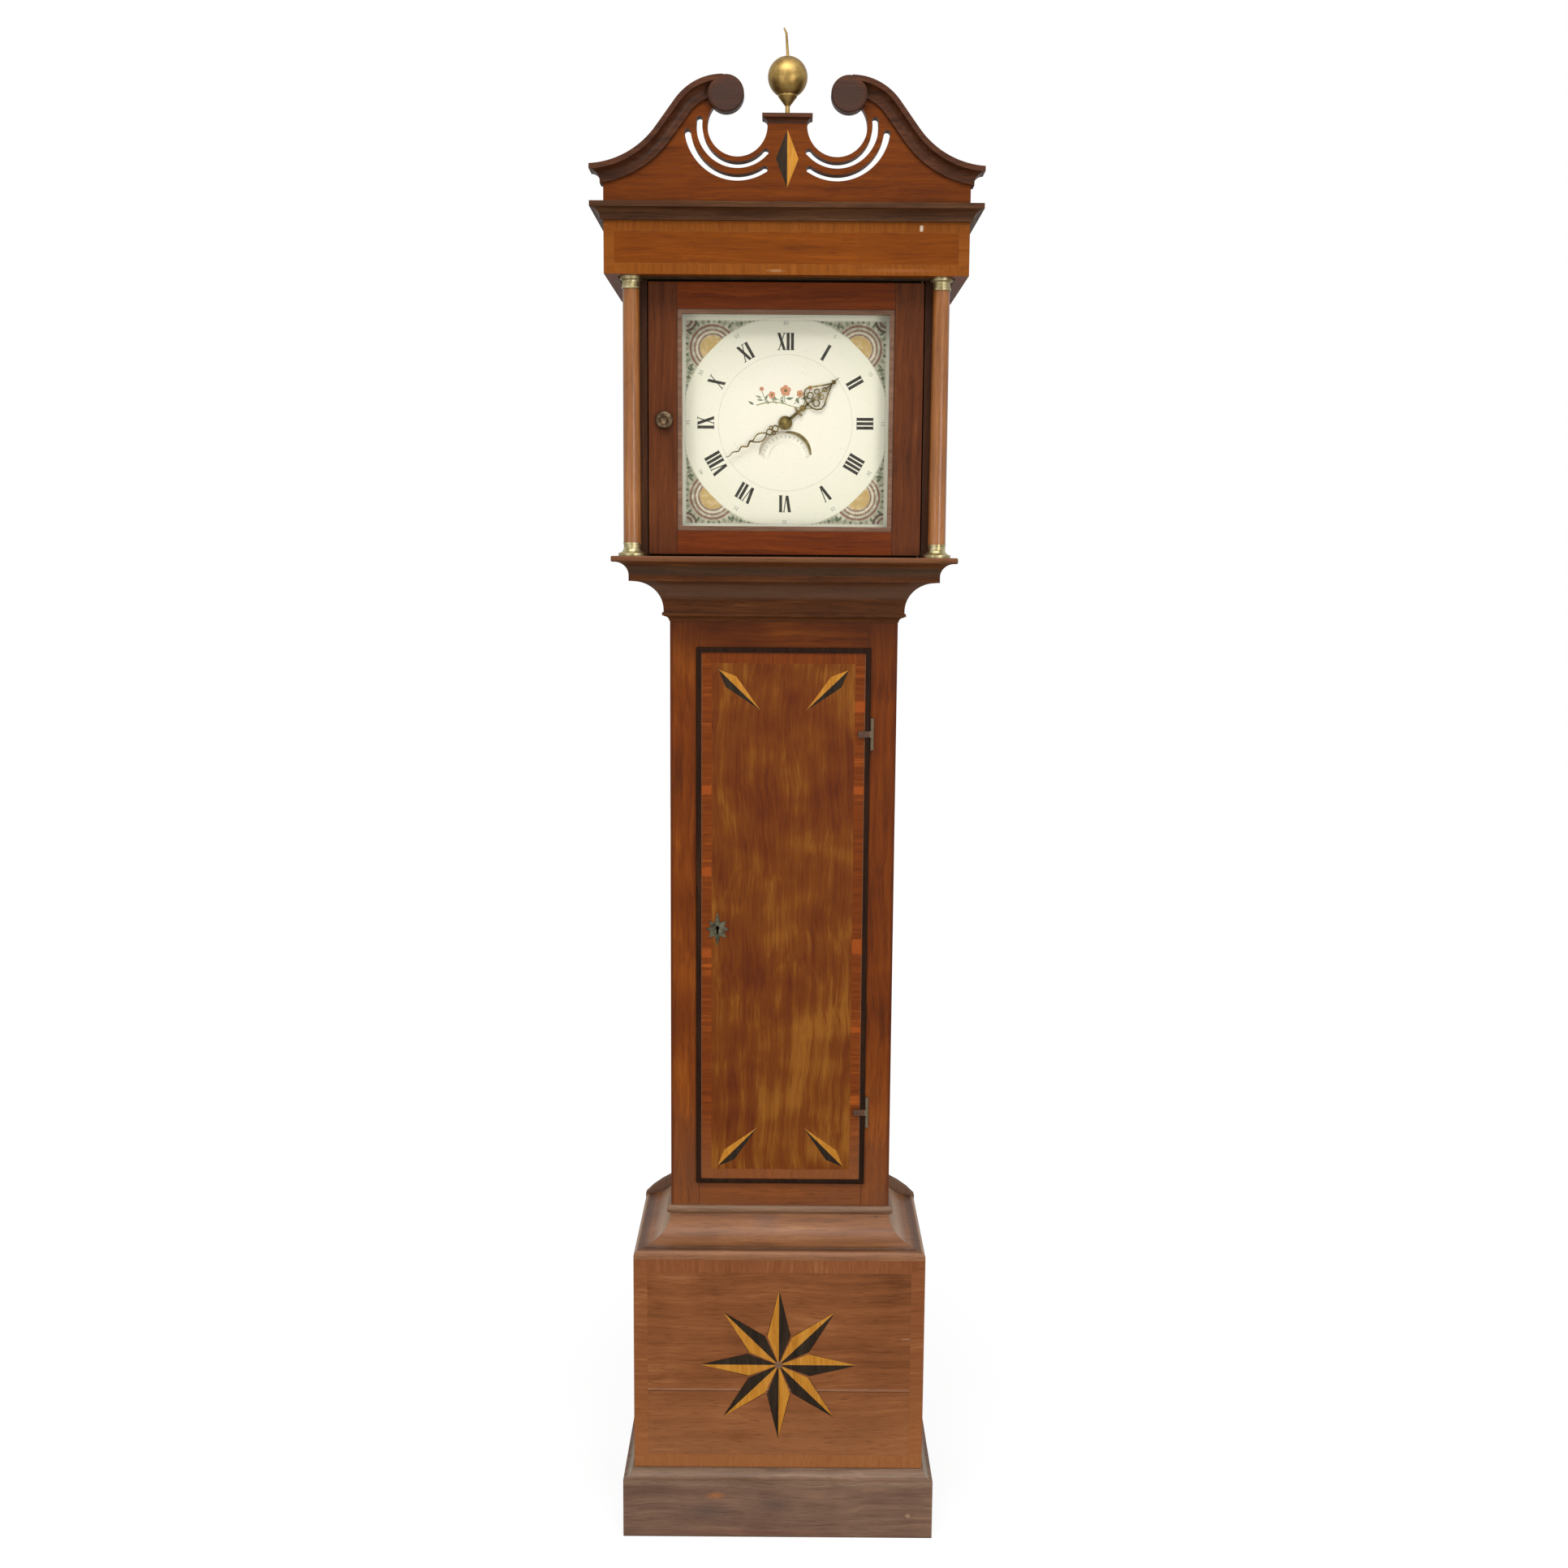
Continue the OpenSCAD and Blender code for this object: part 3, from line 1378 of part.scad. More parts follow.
// Two plates, four pillars riveted between them, the dial's feet, two studs and the back cock
module movement_frame() {
    half = plate_w / 2;
    cock_y = back_plate_back + 7.5;
    arm_z = pendulum_z + 4;
    holes = [great_at, strike_at, third_at, escape_at, hammer_at];
    pillar_at = [for (x = [-1, 1]) for (z = [plate_z + pillar_inset, plate_top - pillar_inset])
        [x * (half - pillar_inset), z - dial_z]];
    foot_at = [for (x = [13 - half, half - 13]) for (z = [37 - plate_drop, plate_h - 16 - plate_drop]) [x, z]];
    color(brass) {
        difference() {
            board(-half, half, front_plate_y, front_plate_y + plate_t, plate_z, plate_top);
            along_y([0, 0], front_plate_y - 1, front_plate_y + plate_t + 1, 2.5 + run_gap);
            for (at = concat(holes, [anchor_at]))
                along_y(at, front_plate_y - 1, front_plate_y + plate_t + 1, gudgeon_r + run_gap);
            for (at = pillar_at) along_y(at, front_plate_y - 1, front_plate_y + plate_t + 1, 3 + hair);
            for (at = foot_at) along_y(at, front_plate_y - 1, front_plate_y + plate_t + 1, 2 + hair);
            along_y(minute_at, front_plate_y - 1, front_plate_y + plate_t + 1, 1 + hair);
            along_y(date_at, front_plate_y - 1, front_plate_y + plate_t + 1, 1.5 + hair);
        }
        difference() {
            board(-half, half, back_plate_y, back_plate_back, plate_z, plate_top);
            for (at = concat(holes, [[0, 0]]))
                along_y(at, back_plate_y - 1, back_plate_back + 1, gudgeon_r + run_gap);
            for (at = pillar_at) along_y(at, back_plate_y - 1, back_plate_back + 1, 3 + hair);
            along_y(anchor_at, back_plate_y - 1, back_plate_back + 1, 6);
        }
        for (at = pillar_at) {
            along_y(at, front_plate_y + plate_t + hair, back_plate_y - hair, pillar_r);
            along_y(at, front_plate_y - 1.5, back_plate_back + 1.5, 3);
        }
        for (at = foot_at) {
            along_y(at, dial_back + hair, front_plate_y - hair, 3.5);
            along_y(at, dial_back + hair, front_plate_y + plate_t + 2, 2);
        }
        along_y(minute_at, front_plate_y - 16.5, front_plate_y + plate_t + 1, 1);
        along_y(date_at, dial_back + hair, front_plate_y - hair, date_stud_r);
        along_y(date_at, dial_back + hair, front_plate_y + plate_t + 1, 1.5);
        difference() {
            union() {
                pair() board(14, 20, back_plate_back + hair, cock_y + 1, pendulum_z - 9, pendulum_z + 12);
                board(-20, 20, cock_y, cock_y + 3, pendulum_z - 9, pendulum_z + 12);
                board(-5, 5, cock_y, pendulum_y + 6, arm_z, arm_z + 8);
            }
            along_y(anchor_at, cock_y - 1, cock_y + 4, gudgeon_r + run_gap);
        }
    }
}

// Bell on its bent stand, with the hammer beside it

module bell() {
    wall = 2.2;
    stand_y = back_plate_back;
    top_z = bell_z + bell_r;
    color(brass) {
        translate([bell_x, bell_y, bell_z]) rotate_extrude() intersection() {
            difference() {
                circle(bell_r);
                circle(bell_r - wall);
            }
            square(100);
        }
        translate([bell_x, bell_y, top_z - 1.5]) cylinder(r = 4, h = 5);
        board(bell_x - 4, bell_x + 4, stand_y, stand_y + 3, plate_top - 22, top_z + 6);
        board(bell_x - 4, bell_x + 4, bell_y - 5, stand_y + 3, top_z + 3, top_z + 6);
    }
}

module hammer() {
    rim_x = bell_x - bell_r;
    arm_y = bell_y;
    head_z = bell_z + 5;
    arm_x = hammer_at[0];
    arm_rise = head_z - dial_z - hammer_at[1];
    lean = atan((arm_x - rim_x + 4) / arm_rise);
    color(steel) {
        arbor(hammer_at);
        along_y(hammer_at, arm_y - 4, arm_y + 4, 4);
        translate([arm_x, arm_y, dial_z + hammer_at[1]]) rotate([0, -lean, 0])
            translate([-1.5, -1.5, 0]) cube([3, 3, arm_rise / cos(lean)]);
        translate([rim_x - 15, arm_y, head_z]) rotate([0, 90, 0]) cylinder(r = 5, h = 13.5);
        translate([arm_x - 1.5, arm_y - 1.5, dial_z + hammer_at[1] - 16]) cube([3, 3, 16]);
    }
}

// Weights and ropes

module rope_over_sprockets() {
    color(rope_tan) for (at = [great_at, strike_at])
        translate([at[0], rope_y, dial_z + at[1]]) rotate([90, 0, 0])
            rotate_extrude(angle = 180) translate([sprocket_r, 0]) circle(rope_r, $fn = 24);
}

module half_turn(y, z, r) {
    translate([0, y, z]) rotate([90, 0, 0]) rotate(180) rotate_extrude(angle = 180)
        translate([r, 0]) circle(rope_r, $fn = 24);
}

module weight_rope() {
    top_z = dial_z + great_at[1];
    color(rope_tan) {
        pair() translate([pulley_r, rope_y, weight_z])
            cylinder(r = rope_r, h = top_z - 0.5 - weight_z, $fn = 24);
        half_turn(rope_y, weight_z, pulley_r);
    }
}

// A round bar between two points
module bar(a, b, r) {
    d = b - a;
    l = norm(d);
    translate(a) rotate([0, acos(d[2] / l), atan2(d[1], d[0])]) cylinder(r = r, h = l, $fn = 24);
}

module counter_rope() {
    top_z = dial_z + great_at[1];
    color(rope_tan) {
        pair() bar([counter_r, counter_y, counter_z + 0.3], [great_x + sprocket_r, rope_y, top_z - 0.5], rope_r);
        half_turn(counter_y, counter_z, counter_r);
    }
}

module weight_pulley() {
    core = pulley_r - rope_r - 0.5;
    color(brass) difference() {
        translate([0, rope_y, weight_z]) rotate([90, 0, 0]) {
            cylinder(r = core, h = 9, center = true);
            for (s = [-1, 1]) translate([0, 0, s * 4.2]) cylinder(r = pulley_r + 2, h = 1, center = true);
        }
        translate([0, rope_y, weight_z]) rotate([90, 0, 0]) cylinder(r = 2 + run_gap, h = 30, center = true);
    }
}

module drive_weight() {
    cheek_y = 5.5;
    cheek_t = 1.5;
    color(lead) translate([0, rope_y, weight_z]) {
        translate([0, 0, -weight_drop - weight_h]) cylinder(r = weight_r, h = weight_h);
        translate([0, 0, -weight_drop]) cylinder(r = 3, h = 16);
        translate([-7, -cheek_y - cheek_t, -weight_drop + 14]) cube([14, 2 * (cheek_y + cheek_t), 3]);
        for (s = [-1, 1]) translate([-7, s * (cheek_y + cheek_t / 2) - cheek_t / 2, -weight_drop + 14])
            cube([14, cheek_t, weight_drop - 6]);
        rotate([90, 0, 0]) cylinder(r = 2, h = 2 * (cheek_y + cheek_t), center = true);
    }
}

module counterweight() {
    core = counter_r - rope_r - 0.4;
    color(lead) difference() {
        translate([0, counter_y, counter_z]) rotate([90, 0, 0]) {
            cylinder(r = core, h = counter_t, center = true);
            for (s = [-1, 1]) translate([0, 0, s * (counter_t / 2 - 1.1)])
                cylinder(r = counter_r + 1, h = 2.2, center = true);
        }
        translate([0, counter_y, counter_z]) rotate([90, 0, 0]) cylinder(r = 5, h = 30, center = true);
    }
}

plinth_skirt();
plinth_moulding();
base_front();
base_crossbanding();
base_star();
shoulder_moulding();
trunk_nosing();
trunk_front_frame();
case_sides();
backboard();
throat_moulding();
seatboard();
case_hinge_leaves();
movement_frame();
dial_plate();
bell();
rope_over_sprockets();
trunk_door_panel();
trunk_door_lip();
trunk_door_banding();
trunk_door_kites();
escutcheon();
lock_case();
door_hinge_leaves();
lock_bolt();
hood_base();
hood_sides();
hood_inner_boards();
frieze();
frieze_banding();
cornice();
pediment_board();
pediment_cap();
pediment_diamond();
swan_necks();
finial();
columns();
column_brasses();
hood_door_frame();
hood_door_bead();
hood_door_glass();
hood_door_brasses();
minute_hand();
centre_arbor();
hour_hand();
minute_wheel();
date_disc();
great_wheel();
third_wheel();
escape_wheel();
anchor();
pendulum_rod();
pendulum_bob();
drive_weight();
weight_pulley();
weight_rope();
counterweight();
counter_rope();
strike_wheel();
hammer();
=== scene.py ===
import bpy
from math import acos, asin, atan2, cos, degrees, hypot, pi, radians, sin, sqrt
from mathutils import Matrix, Vector


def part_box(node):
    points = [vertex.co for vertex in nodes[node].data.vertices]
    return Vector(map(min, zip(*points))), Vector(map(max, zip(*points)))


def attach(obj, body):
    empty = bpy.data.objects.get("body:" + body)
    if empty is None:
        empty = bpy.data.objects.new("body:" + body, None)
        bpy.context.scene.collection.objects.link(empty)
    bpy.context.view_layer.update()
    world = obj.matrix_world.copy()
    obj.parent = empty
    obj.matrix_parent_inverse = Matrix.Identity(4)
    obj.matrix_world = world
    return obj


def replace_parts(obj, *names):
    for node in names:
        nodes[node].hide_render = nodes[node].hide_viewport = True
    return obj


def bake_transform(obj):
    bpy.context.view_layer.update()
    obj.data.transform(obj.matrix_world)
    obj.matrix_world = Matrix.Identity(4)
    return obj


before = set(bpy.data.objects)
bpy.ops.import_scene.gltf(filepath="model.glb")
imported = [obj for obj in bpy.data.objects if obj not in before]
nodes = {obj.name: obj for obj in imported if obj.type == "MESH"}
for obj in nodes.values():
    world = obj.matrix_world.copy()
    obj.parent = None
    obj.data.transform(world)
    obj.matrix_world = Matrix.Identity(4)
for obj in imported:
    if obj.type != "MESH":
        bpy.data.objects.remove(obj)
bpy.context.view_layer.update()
mm = 0.001


# small helpers

def deselectAll():
    if bpy.context.object and bpy.context.object.mode != "OBJECT":
        bpy.ops.object.mode_set(mode="OBJECT")
    bpy.ops.object.select_all(action="DESELECT")


def pick(piece):
    deselectAll()
    piece.select_set(True)
    bpy.context.view_layer.objects.active = piece


def linked(name, data):
    piece = bpy.data.objects.new(name, data)
    bpy.context.scene.collection.objects.link(piece)
    return piece


def meshed(piece):
    # a curve or a text becomes one closed skin, its faces outwards and its place in its mesh
    pick(piece)
    bpy.ops.object.convert(target="MESH")
    bpy.ops.object.transform_apply(location=True, rotation=True, scale=True)
    bpy.ops.object.mode_set(mode="EDIT")
    bpy.ops.mesh.select_all(action="SELECT")
    bpy.ops.mesh.remove_doubles(threshold=0.002 * mm)
    bpy.ops.mesh.normals_make_consistent(inside=False)
    bpy.ops.object.mode_set(mode="OBJECT")
    return bpy.context.object


def joinAll(pieces):
    pick(pieces[0])
    for piece in pieces:
        piece.select_set(True)
    bpy.ops.object.join()
    return pieces[0]


def dress(piece, material):
    piece.data.materials.clear()
    piece.data.materials.append(material)


def settle(piece, name, body, material):
    # the piece takes its name and material, and rides on its body
    piece.name = name
    piece.data.name = name
    dress(piece, material)
    deselectAll()
    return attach(piece, body)


def boxMm(node):
    # the lowest and highest corners of a CAD node at rest, in mm
    return [[value / mm for value in corner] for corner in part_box(node)]


def hexColour(text):
    # sRGB hex to the linear values that Blender keeps
    parts = [int(text[i:i + 2], 16) / 255 for i in (1, 3, 5)]
    return [c / 12.92 if c <= 0.04045 else ((c + 0.055) / 1.055) ** 2.4 for c in parts] + [1]


def evenStops(colours):
    return [(i / (len(colours) - 1), colour) for i, colour in enumerate(colours)]


def addNode(tree, kind, inputs=None, **settings):
    # an input is a value, a hex colour, a socket or a node, which stands for its first socket in use
    node = tree.nodes.new("ShaderNode" + kind)
    for key, value in settings.items():
        if key == "stops":
            ramp = node.color_ramp
            while len(ramp.elements) < len(value):
                ramp.elements.new(0.5)
            for element, (position, colour) in zip(ramp.elements, value):
                element.position = position
                element.color = hexColour(colour)
        else:
            setattr(node, key, value)
    for key, value in (inputs or {}).items():
        socket = node.inputs[key] if isinstance(key, int) else [
            s for s in node.inputs if s.enabled and s.name == key][0]
        if isinstance(value, str):
            value = hexColour(value)
        if isinstance(value, bpy.types.Node):
            value = [s for s in value.outputs if s.enabled][0]
        if isinstance(value, bpy.types.NodeSocket):
            tree.links.new(value, socket)
        else:
            socket.default_value = value
    return node


def newMaterial(name):
    # with it come its node tree and the place on the piece, in metres
    material = bpy.data.materials.new(name)
    material.use_nodes = True
    tree = material.node_tree
    tree.nodes.clear()
    return material, tree, addNode(tree, "TexCoord").outputs["Object"]


def finishMaterial(tree, surface):
    addNode(tree, "OutputMaterial", {"Surface": surface})


print("helpers ready")


# camera, light and floor

camera = {
    "place": (1.7 * mm, -2392.9 * mm, 1433.3 * mm),
    "focalPixels": 2050,
    "framePixels": 1932,
    "tiltDown": 7.82,
    "roll": 0.41,
    "sensor": 36,
    "farthest": 50,
}
lens = bpy.data.cameras.new("camera")
lens.sensor_fit = "HORIZONTAL"
lens.sensor_width = camera["sensor"]
lens.lens = camera["sensor"] * camera["focalPixels"] / camera["framePixels"]
lens.clip_end = camera["farthest"]
cameraObject = linked("camera", lens)
cameraObject.matrix_world = (
    Matrix.Translation(camera["place"])
    @ Matrix.Rotation(radians(90 - camera["tiltDown"]), 4, "X")
    @ Matrix.Rotation(radians(camera["roll"]), 4, "Z")
)
bpy.context.scene.camera = cameraObject

lights = {
    # name: (place, aims at, width, height, watts)
    "keySoftbox": ((1.6, -3.0, 1.1), (0, 0, 1.0), 1.0, 1.8, 33),
    "fillSoftbox": ((-1.9, -3.0, 0.9), (0, 0, 0.9), 1.4, 1.6, 17),
    "topPanel": ((-0.2, -2.3, 4.4), (0, 0, 0.9), 3.0, 2.0, 98),
}
for name, (place, aim, width, height, watts) in lights.items():
    lampData = bpy.data.lights.new(name, "AREA")
    lampData.shape = "RECTANGLE"
    lampData.size = width
    lampData.size_y = height
    lampData.energy = watts
    lamp = linked(name, lampData)
    lamp.location = place
    lamp.rotation_euler = (Vector(aim) - Vector(place)).to_track_quat("-Z", "Y").to_euler()

# the camera sees a white backdrop, a dimmer room lights the pieces, and what shines mirrors something between
studio = {"backdrop": 1.0, "room": 0.34, "mirrored": 0.6}
white = (1, 1, 1, 1)
world = bpy.data.worlds.new("studio")
bpy.context.scene.world = world
world.use_nodes = True
tree = world.node_tree
tree.nodes.clear()
path = addNode(tree, "LightPath")
direct, through = path.outputs["Is Camera Ray"], path.outputs["Is Transmission Ray"]
seen = addNode(tree, "Math", {0: direct, 1: through}, operation="MAXIMUM")
shined = path.outputs["Is Glossy Ray"]
shined = addNode(tree, "Math", {0: shined, 1: studio["mirrored"]}, operation="MULTIPLY")
seen = addNode(tree, "Math", {0: seen, 1: shined}, operation="MAXIMUM")
room = addNode(tree, "Background", {"Color": white, "Strength": studio["room"]})
backdrop = addNode(tree, "Background", {"Color": white, "Strength": studio["backdrop"]})
addNode(tree, "OutputWorld", {"Surface": addNode(tree, "MixShader", {0: seen, 1: room, 2: backdrop})})

# the floor glows to the camera, dimmer near the clock as a painted shadow round its foot and fully bright
# farther out, and gives the clock plain light from below
floorLook = {"size": 14, "near": 0.5, "far": 2.2, "paintedShadowGlow": 0.84, "farGlow": 1.0,
             "matt": "#8a8a8a", "plain": "#c9c7c2"}
material, tree, place = newMaterial("pale studio floor")
away = addNode(tree, "VectorMath", {0: place}, operation="LENGTH").outputs["Value"]
glow = addNode(tree, "MapRange", {"Value": away, "From Min": floorLook["near"], "From Max": floorLook["far"],
                                  "To Min": floorLook["paintedShadowGlow"], "To Max": floorLook["farGlow"]})
glow = addNode(tree, "Emission", {"Color": white, "Strength": glow})
matt = addNode(tree, "BsdfDiffuse", {"Color": floorLook["matt"]})
plain = addNode(tree, "BsdfDiffuse", {"Color": floorLook["plain"]})
lit = addNode(tree, "AddShader", {0: glow, 1: matt})
direct = addNode(tree, "LightPath").outputs["Is Camera Ray"]
finishMaterial(tree, addNode(tree, "MixShader", {0: direct, 1: plain, 2: lit}))
deselectAll()
bpy.ops.mesh.primitive_plane_add(size=floorLook["size"], location=(0, 0, 0))
floor = bpy.context.object
floor.name = "floor"
dress(floor, material)
deselectAll()
bpy.context.scene.view_settings.view_transform = "Standard"
print("camera, light and floor ready")


# wood

woodUsual = {
    # mm: how far the figure is shifted and warped, length of a warp, size of a blotch, rubbed edge
    "shift": (0, 0, 0), "warp": 26, "warpLength": 170, "blotch": 130, "edge": 0.9,
    # the grain's axis, and how many times longer rings, streaks and pores are along it
    "along": "z", "ringRun": 24, "streakRun": 42, "poreRun": 16,
    # what the tone is made of, and the span of it that the colours cover
    "ringShare": 0.62, "streakShare": 0.34, "cloud": 0.3, "spread": (0.36, 0.9),
    # veneer in blocks: how rare the pale ones are, and how many blocks on the other side of the clock starts
    "rarity": 12, "otherSide": 37,
    # strength of pores, of wear on the edges, its patches to the mm, dirt and painted shade in the corners
    # and its reach in mm
    "poreShare": 0.4, "wear": 0.35, "patches": 0.06, "dirtAndShade": 0.5, "dirtAndShadeColour": "#1e130c", "dirtAndShadeReach": 14,
    # where in the noise the pores open, how deep they are beside the streaks, and how much duller streaks are
    "poreSpan": (0.58, 0.74), "poreDepth": 0.5, "streakDull": 0.18,
    "rough": 0.4, "bump": 0.35, "bumpDepth": 0.4, "shine": 0.2, "polish": 0.05, "polishRough": 0.22,
    "heightLightAndTint": (), "lines": (), "spots": (),
}


def grainDirection(tree, look, cut, side):
    # the grain runs along one axis, and turns level in the rails or in a band's upright strips
    across, depth, upward = cut.outputs
    level = addNode(tree, "CombineXYZ", {0: upward, 1: depth, 2: across})
    if look["along"] == "x":
        return level, None
    grain = addNode(tree, "CombineXYZ", {0: across, 1: depth, 2: upward})
    if "rails" in look:
        turned = addNode(tree, "Math", {0: side, 1: look["rails"]}, operation="LESS_THAN")
    elif "band" in look:
        halfWidth, centre, halfHeight = look["band"]
        inward = addNode(tree, "Math", {0: halfWidth, 1: side}, operation="SUBTRACT")
        rise = addNode(tree, "Math", {0: upward, 1: centre}, operation="SUBTRACT")
        rise = addNode(tree, "Math", {0: rise}, operation="ABSOLUTE")
        rise = addNode(tree, "Math", {0: halfHeight, 1: rise}, operation="SUBTRACT")
        turned = addNode(tree, "Math", {0: inward, 1: rise}, operation="LESS_THAN")
    else:
        return grain, None
    return addNode(tree, "Mix", {"Factor": turned, "A": grain, "B": level}, data_type="VECTOR"), turned


def stretched(tree, vector, size, run, **noise):
    # noise of a size in mm, drawn out along the grain
    scale = (1 / size, 1 / size, 1 / (size * run))
    vector = addNode(tree, "Mapping", {"Vector": vector, "Scale": scale})
    return addNode(tree, "TexNoise", {"Vector": vector, "Scale": 1, **noise})


def woodTone(tree, look, grain, across, blotch):
    # slow warp of the whole figure, then rings and streaks stretched along the grain
    warp = addNode(tree, "TexNoise", {"Vector": grain, "Scale": 1 / look["warpLength"], "Detail": 2})
    warp = addNode(tree, "VectorMath", {0: warp.outputs["Color"], 1: (0.5, 0.5, 0.5)}, operation="SUBTRACT")
    warp = addNode(tree, "VectorMath", {0: warp, "Scale": look["warp"]}, operation="SCALE")
    figure = addNode(tree, "VectorMath", {0: grain, 1: warp}, operation="ADD")
    rings = stretched(tree, figure, look["ring"], look["ringRun"], Detail=3, Roughness=0.55, Distortion=0.3)
    streaks = stretched(tree, figure, look["streak"], look["streakRun"], Detail=2)
    tone = addNode(tree, "Math", {0: rings, 1: look["ringShare"]}, operation="MULTIPLY")
    tone = addNode(tree, "Math", {0: streaks, 1: look["streakShare"], 2: tone}, operation="MULTIPLY_ADD")
    tone = addNode(tree, "Math", {0: blotch, 1: look["cloud"], 2: tone}, operation="MULTIPLY_ADD")
    if "block" in look:
        # veneer laid in short lengths, a few cut from a paler part of the sheet, other ones left and right
        run = addNode(tree, "SeparateXYZ", {0: grain})
        count = addNode(tree, "Math", {0: run.outputs[0], 1: look["block"]}, operation="DIVIDE")
        count = addNode(tree, "Math", {0: count}, operation="FLOOR")
        flip = addNode(tree, "Math", {0: across}, operation="SIGN")
        count = addNode(tree, "Math", {0: flip, 1: look["otherSide"], 2: count}, operation="MULTIPLY_ADD")
        lot = addNode(tree, "TexWhiteNoise", {"W": count}, noise_dimensions="1D")
        lot = addNode(tree, "Math", {0: lot.outputs["Value"], 1: look["rarity"]}, operation="POWER")
        tone = addNode(tree, "Math", {0: lot, 1: look["blockShare"], 2: tone}, operation="MULTIPLY_ADD")
    low, high = look["spread"]
    return addNode(tree, "MapRange", {"Value": tone, "From Min": low, "From Max": high}), streaks


def agedColour(tree, look, colour, side, upward, blotch):
    for start, end, share, tint in look["heightLightAndTint"]:
        # painted light and shade along the height: a part paled towards its foot is painted light from the
        # floor, one darkened towards its top is painted shade under the part above, and the hood base's
        # lighter top is a painted highlight on its lip (the trunk door's entry lies evenly on it as a darker
        # tint); strongest at the first height, gone at the second
        drift = end - start
        heightShare = addNode(tree, "Math", {0: blotch, 1: drift * 0.6, 2: upward}, operation="MULTIPLY_ADD")
        heightShare = addNode(tree, "MapRange", {"Value": heightShare, "From Min": start + drift * 0.3,
                                           "From Max": end + drift * 0.3, "To Min": share, "To Max": 0})
        colour = addNode(tree, "Mix", {"Factor": heightShare, "A": colour, "B": tint}, data_type="RGBA")
    if "ears" in look:
        # what shows past the trunk above the base is stained like the shoulder in front of it
        level, foot, top, tint = look["ears"]
        past = addNode(tree, "Math", {0: side, 1: level}, operation="GREATER_THAN")
        middle, reach = (foot + top) / 2, (top - foot) / 2
        within = addNode(tree, "Math", {0: upward, 1: middle, 2: reach}, operation="COMPARE")
        past = addNode(tree, "Math", {0: past, 1: within}, operation="MULTIPLY")
        colour = addNode(tree, "Mix", {"Factor": past, "A": colour, "B": tint}, data_type="RGBA")
    if "paintedSideSheen" in look:
        # the sides are lighter than the front: a painted sheen, the pale room mirrored at a slant
        tint, share = look["paintedSideSheen"]
        facing = addNode(tree, "SeparateXYZ", {0: addNode(tree, "NewGeometry").outputs["Normal"]})
        facing = addNode(tree, "Math", {0: facing.outputs[0]}, operation="ABSOLUTE")
        facing = addNode(tree, "MapRange", {"Value": facing, "From Min": 0.3, "From Max": 0.6,
                                            "To Max": share})
        colour = addNode(tree, "Mix", {"Factor": facing, "A": colour, "B": tint}, data_type="RGBA")
    for way, level, halfWide, tint, share in look["lines"]:
        # glue lines between boards, and wider bands along the hood's mouldings, one of them painted shade in
        # the hood base's cove; across ("x", either side) or up ("z") the clock
        off = addNode(tree, "Math", {0: side if way == "x" else upward, 1: level}, operation="SUBTRACT")
        off = addNode(tree, "Math", {0: off}, operation="ABSOLUTE")
        off = addNode(tree, "MapRange", {"Value": off, "From Min": halfWide, "From Max": halfWide * 0.5,
                                         "To Max": share})
        colour = addNode(tree, "Mix", {"Factor": off, "A": colour, "B": tint}, data_type="RGBA")
    return colour


def wornColour(tree, look, colour, inMm, edge):
    # rubbed edges show paler wood, in patches, and the corners darken as dirt and painted shade; an edge is
    # where the rounded normal has turned away from the flat one, and a corner is where little of the sky is
    # seen
    flat = addNode(tree, "NewGeometry").outputs["Normal"]
    rubbed = addNode(tree, "VectorMath", {0: edge, 1: flat}, operation="DOT_PRODUCT").outputs["Value"]
    rubbed = addNode(tree, "MapRange", {"Value": rubbed, "From Min": 0.985, "From Max": 0.86,
                                        "To Max": look["wear"]})
    patchy = addNode(tree, "TexNoise", {"Vector": inMm, "Scale": look["patches"], "Detail": 3})
    patchy = addNode(tree, "MapRange", {"Value": patchy, "From Min": 0.4, "From Max": 0.6})
    rubbed = addNode(tree, "Math", {0: rubbed, 1: patchy}, operation="MULTIPLY")
    colour = addNode(tree, "Mix", {"Factor": rubbed, "A": colour, "B": look["worn"]}, data_type="RGBA")
    corner = addNode(tree, "AmbientOcclusion", {"Distance": look["dirtAndShadeReach"] * mm}, samples=4).outputs["AO"]
    corner = addNode(tree, "MapRange", {"Value": corner, "From Min": 0.75, "From Max": 0.2,
                                        "To Max": look["dirtAndShade"]})
    return addNode(tree, "Mix", {"Factor": corner, "A": colour, "B": look["dirtAndShadeColour"]}, data_type="RGBA")


def spottedColour(tree, look, colour, inMm, across, upward):
    # chips, nail holes and stains: place in mm, radius across, radius up, colour, strength, softness;
    # the edge lies where the distance in radii and the wobble add up to 1.5
    flat = addNode(tree, "CombineXYZ", {0: across, 2: upward})
    wobble = addNode(tree, "TexNoise", {"Vector": inMm, "Scale": 0.3, "Detail": 2})
    for x, z, wide, high, tint, share, soft in look["spots"]:
        near = addNode(tree, "VectorMath", {0: flat, 1: (x, 0, z)}, operation="SUBTRACT")
        near = addNode(tree, "VectorMath", {0: near, 1: (1 / wide, 0, 1 / high)}, operation="MULTIPLY")
        near = addNode(tree, "VectorMath", {0: near}, operation="LENGTH").outputs["Value"]
        near = addNode(tree, "Math", {0: wobble, 1: 0.9, 2: near}, operation="MULTIPLY_ADD")
        near = addNode(tree, "MapRange", {"Value": near, "From Min": 1.5, "From Max": 1.4 - soft,
                                          "To Max": share})
        colour = addNode(tree, "Mix", {"Factor": near, "A": colour, "B": tint}, data_type="RGBA")
    return colour


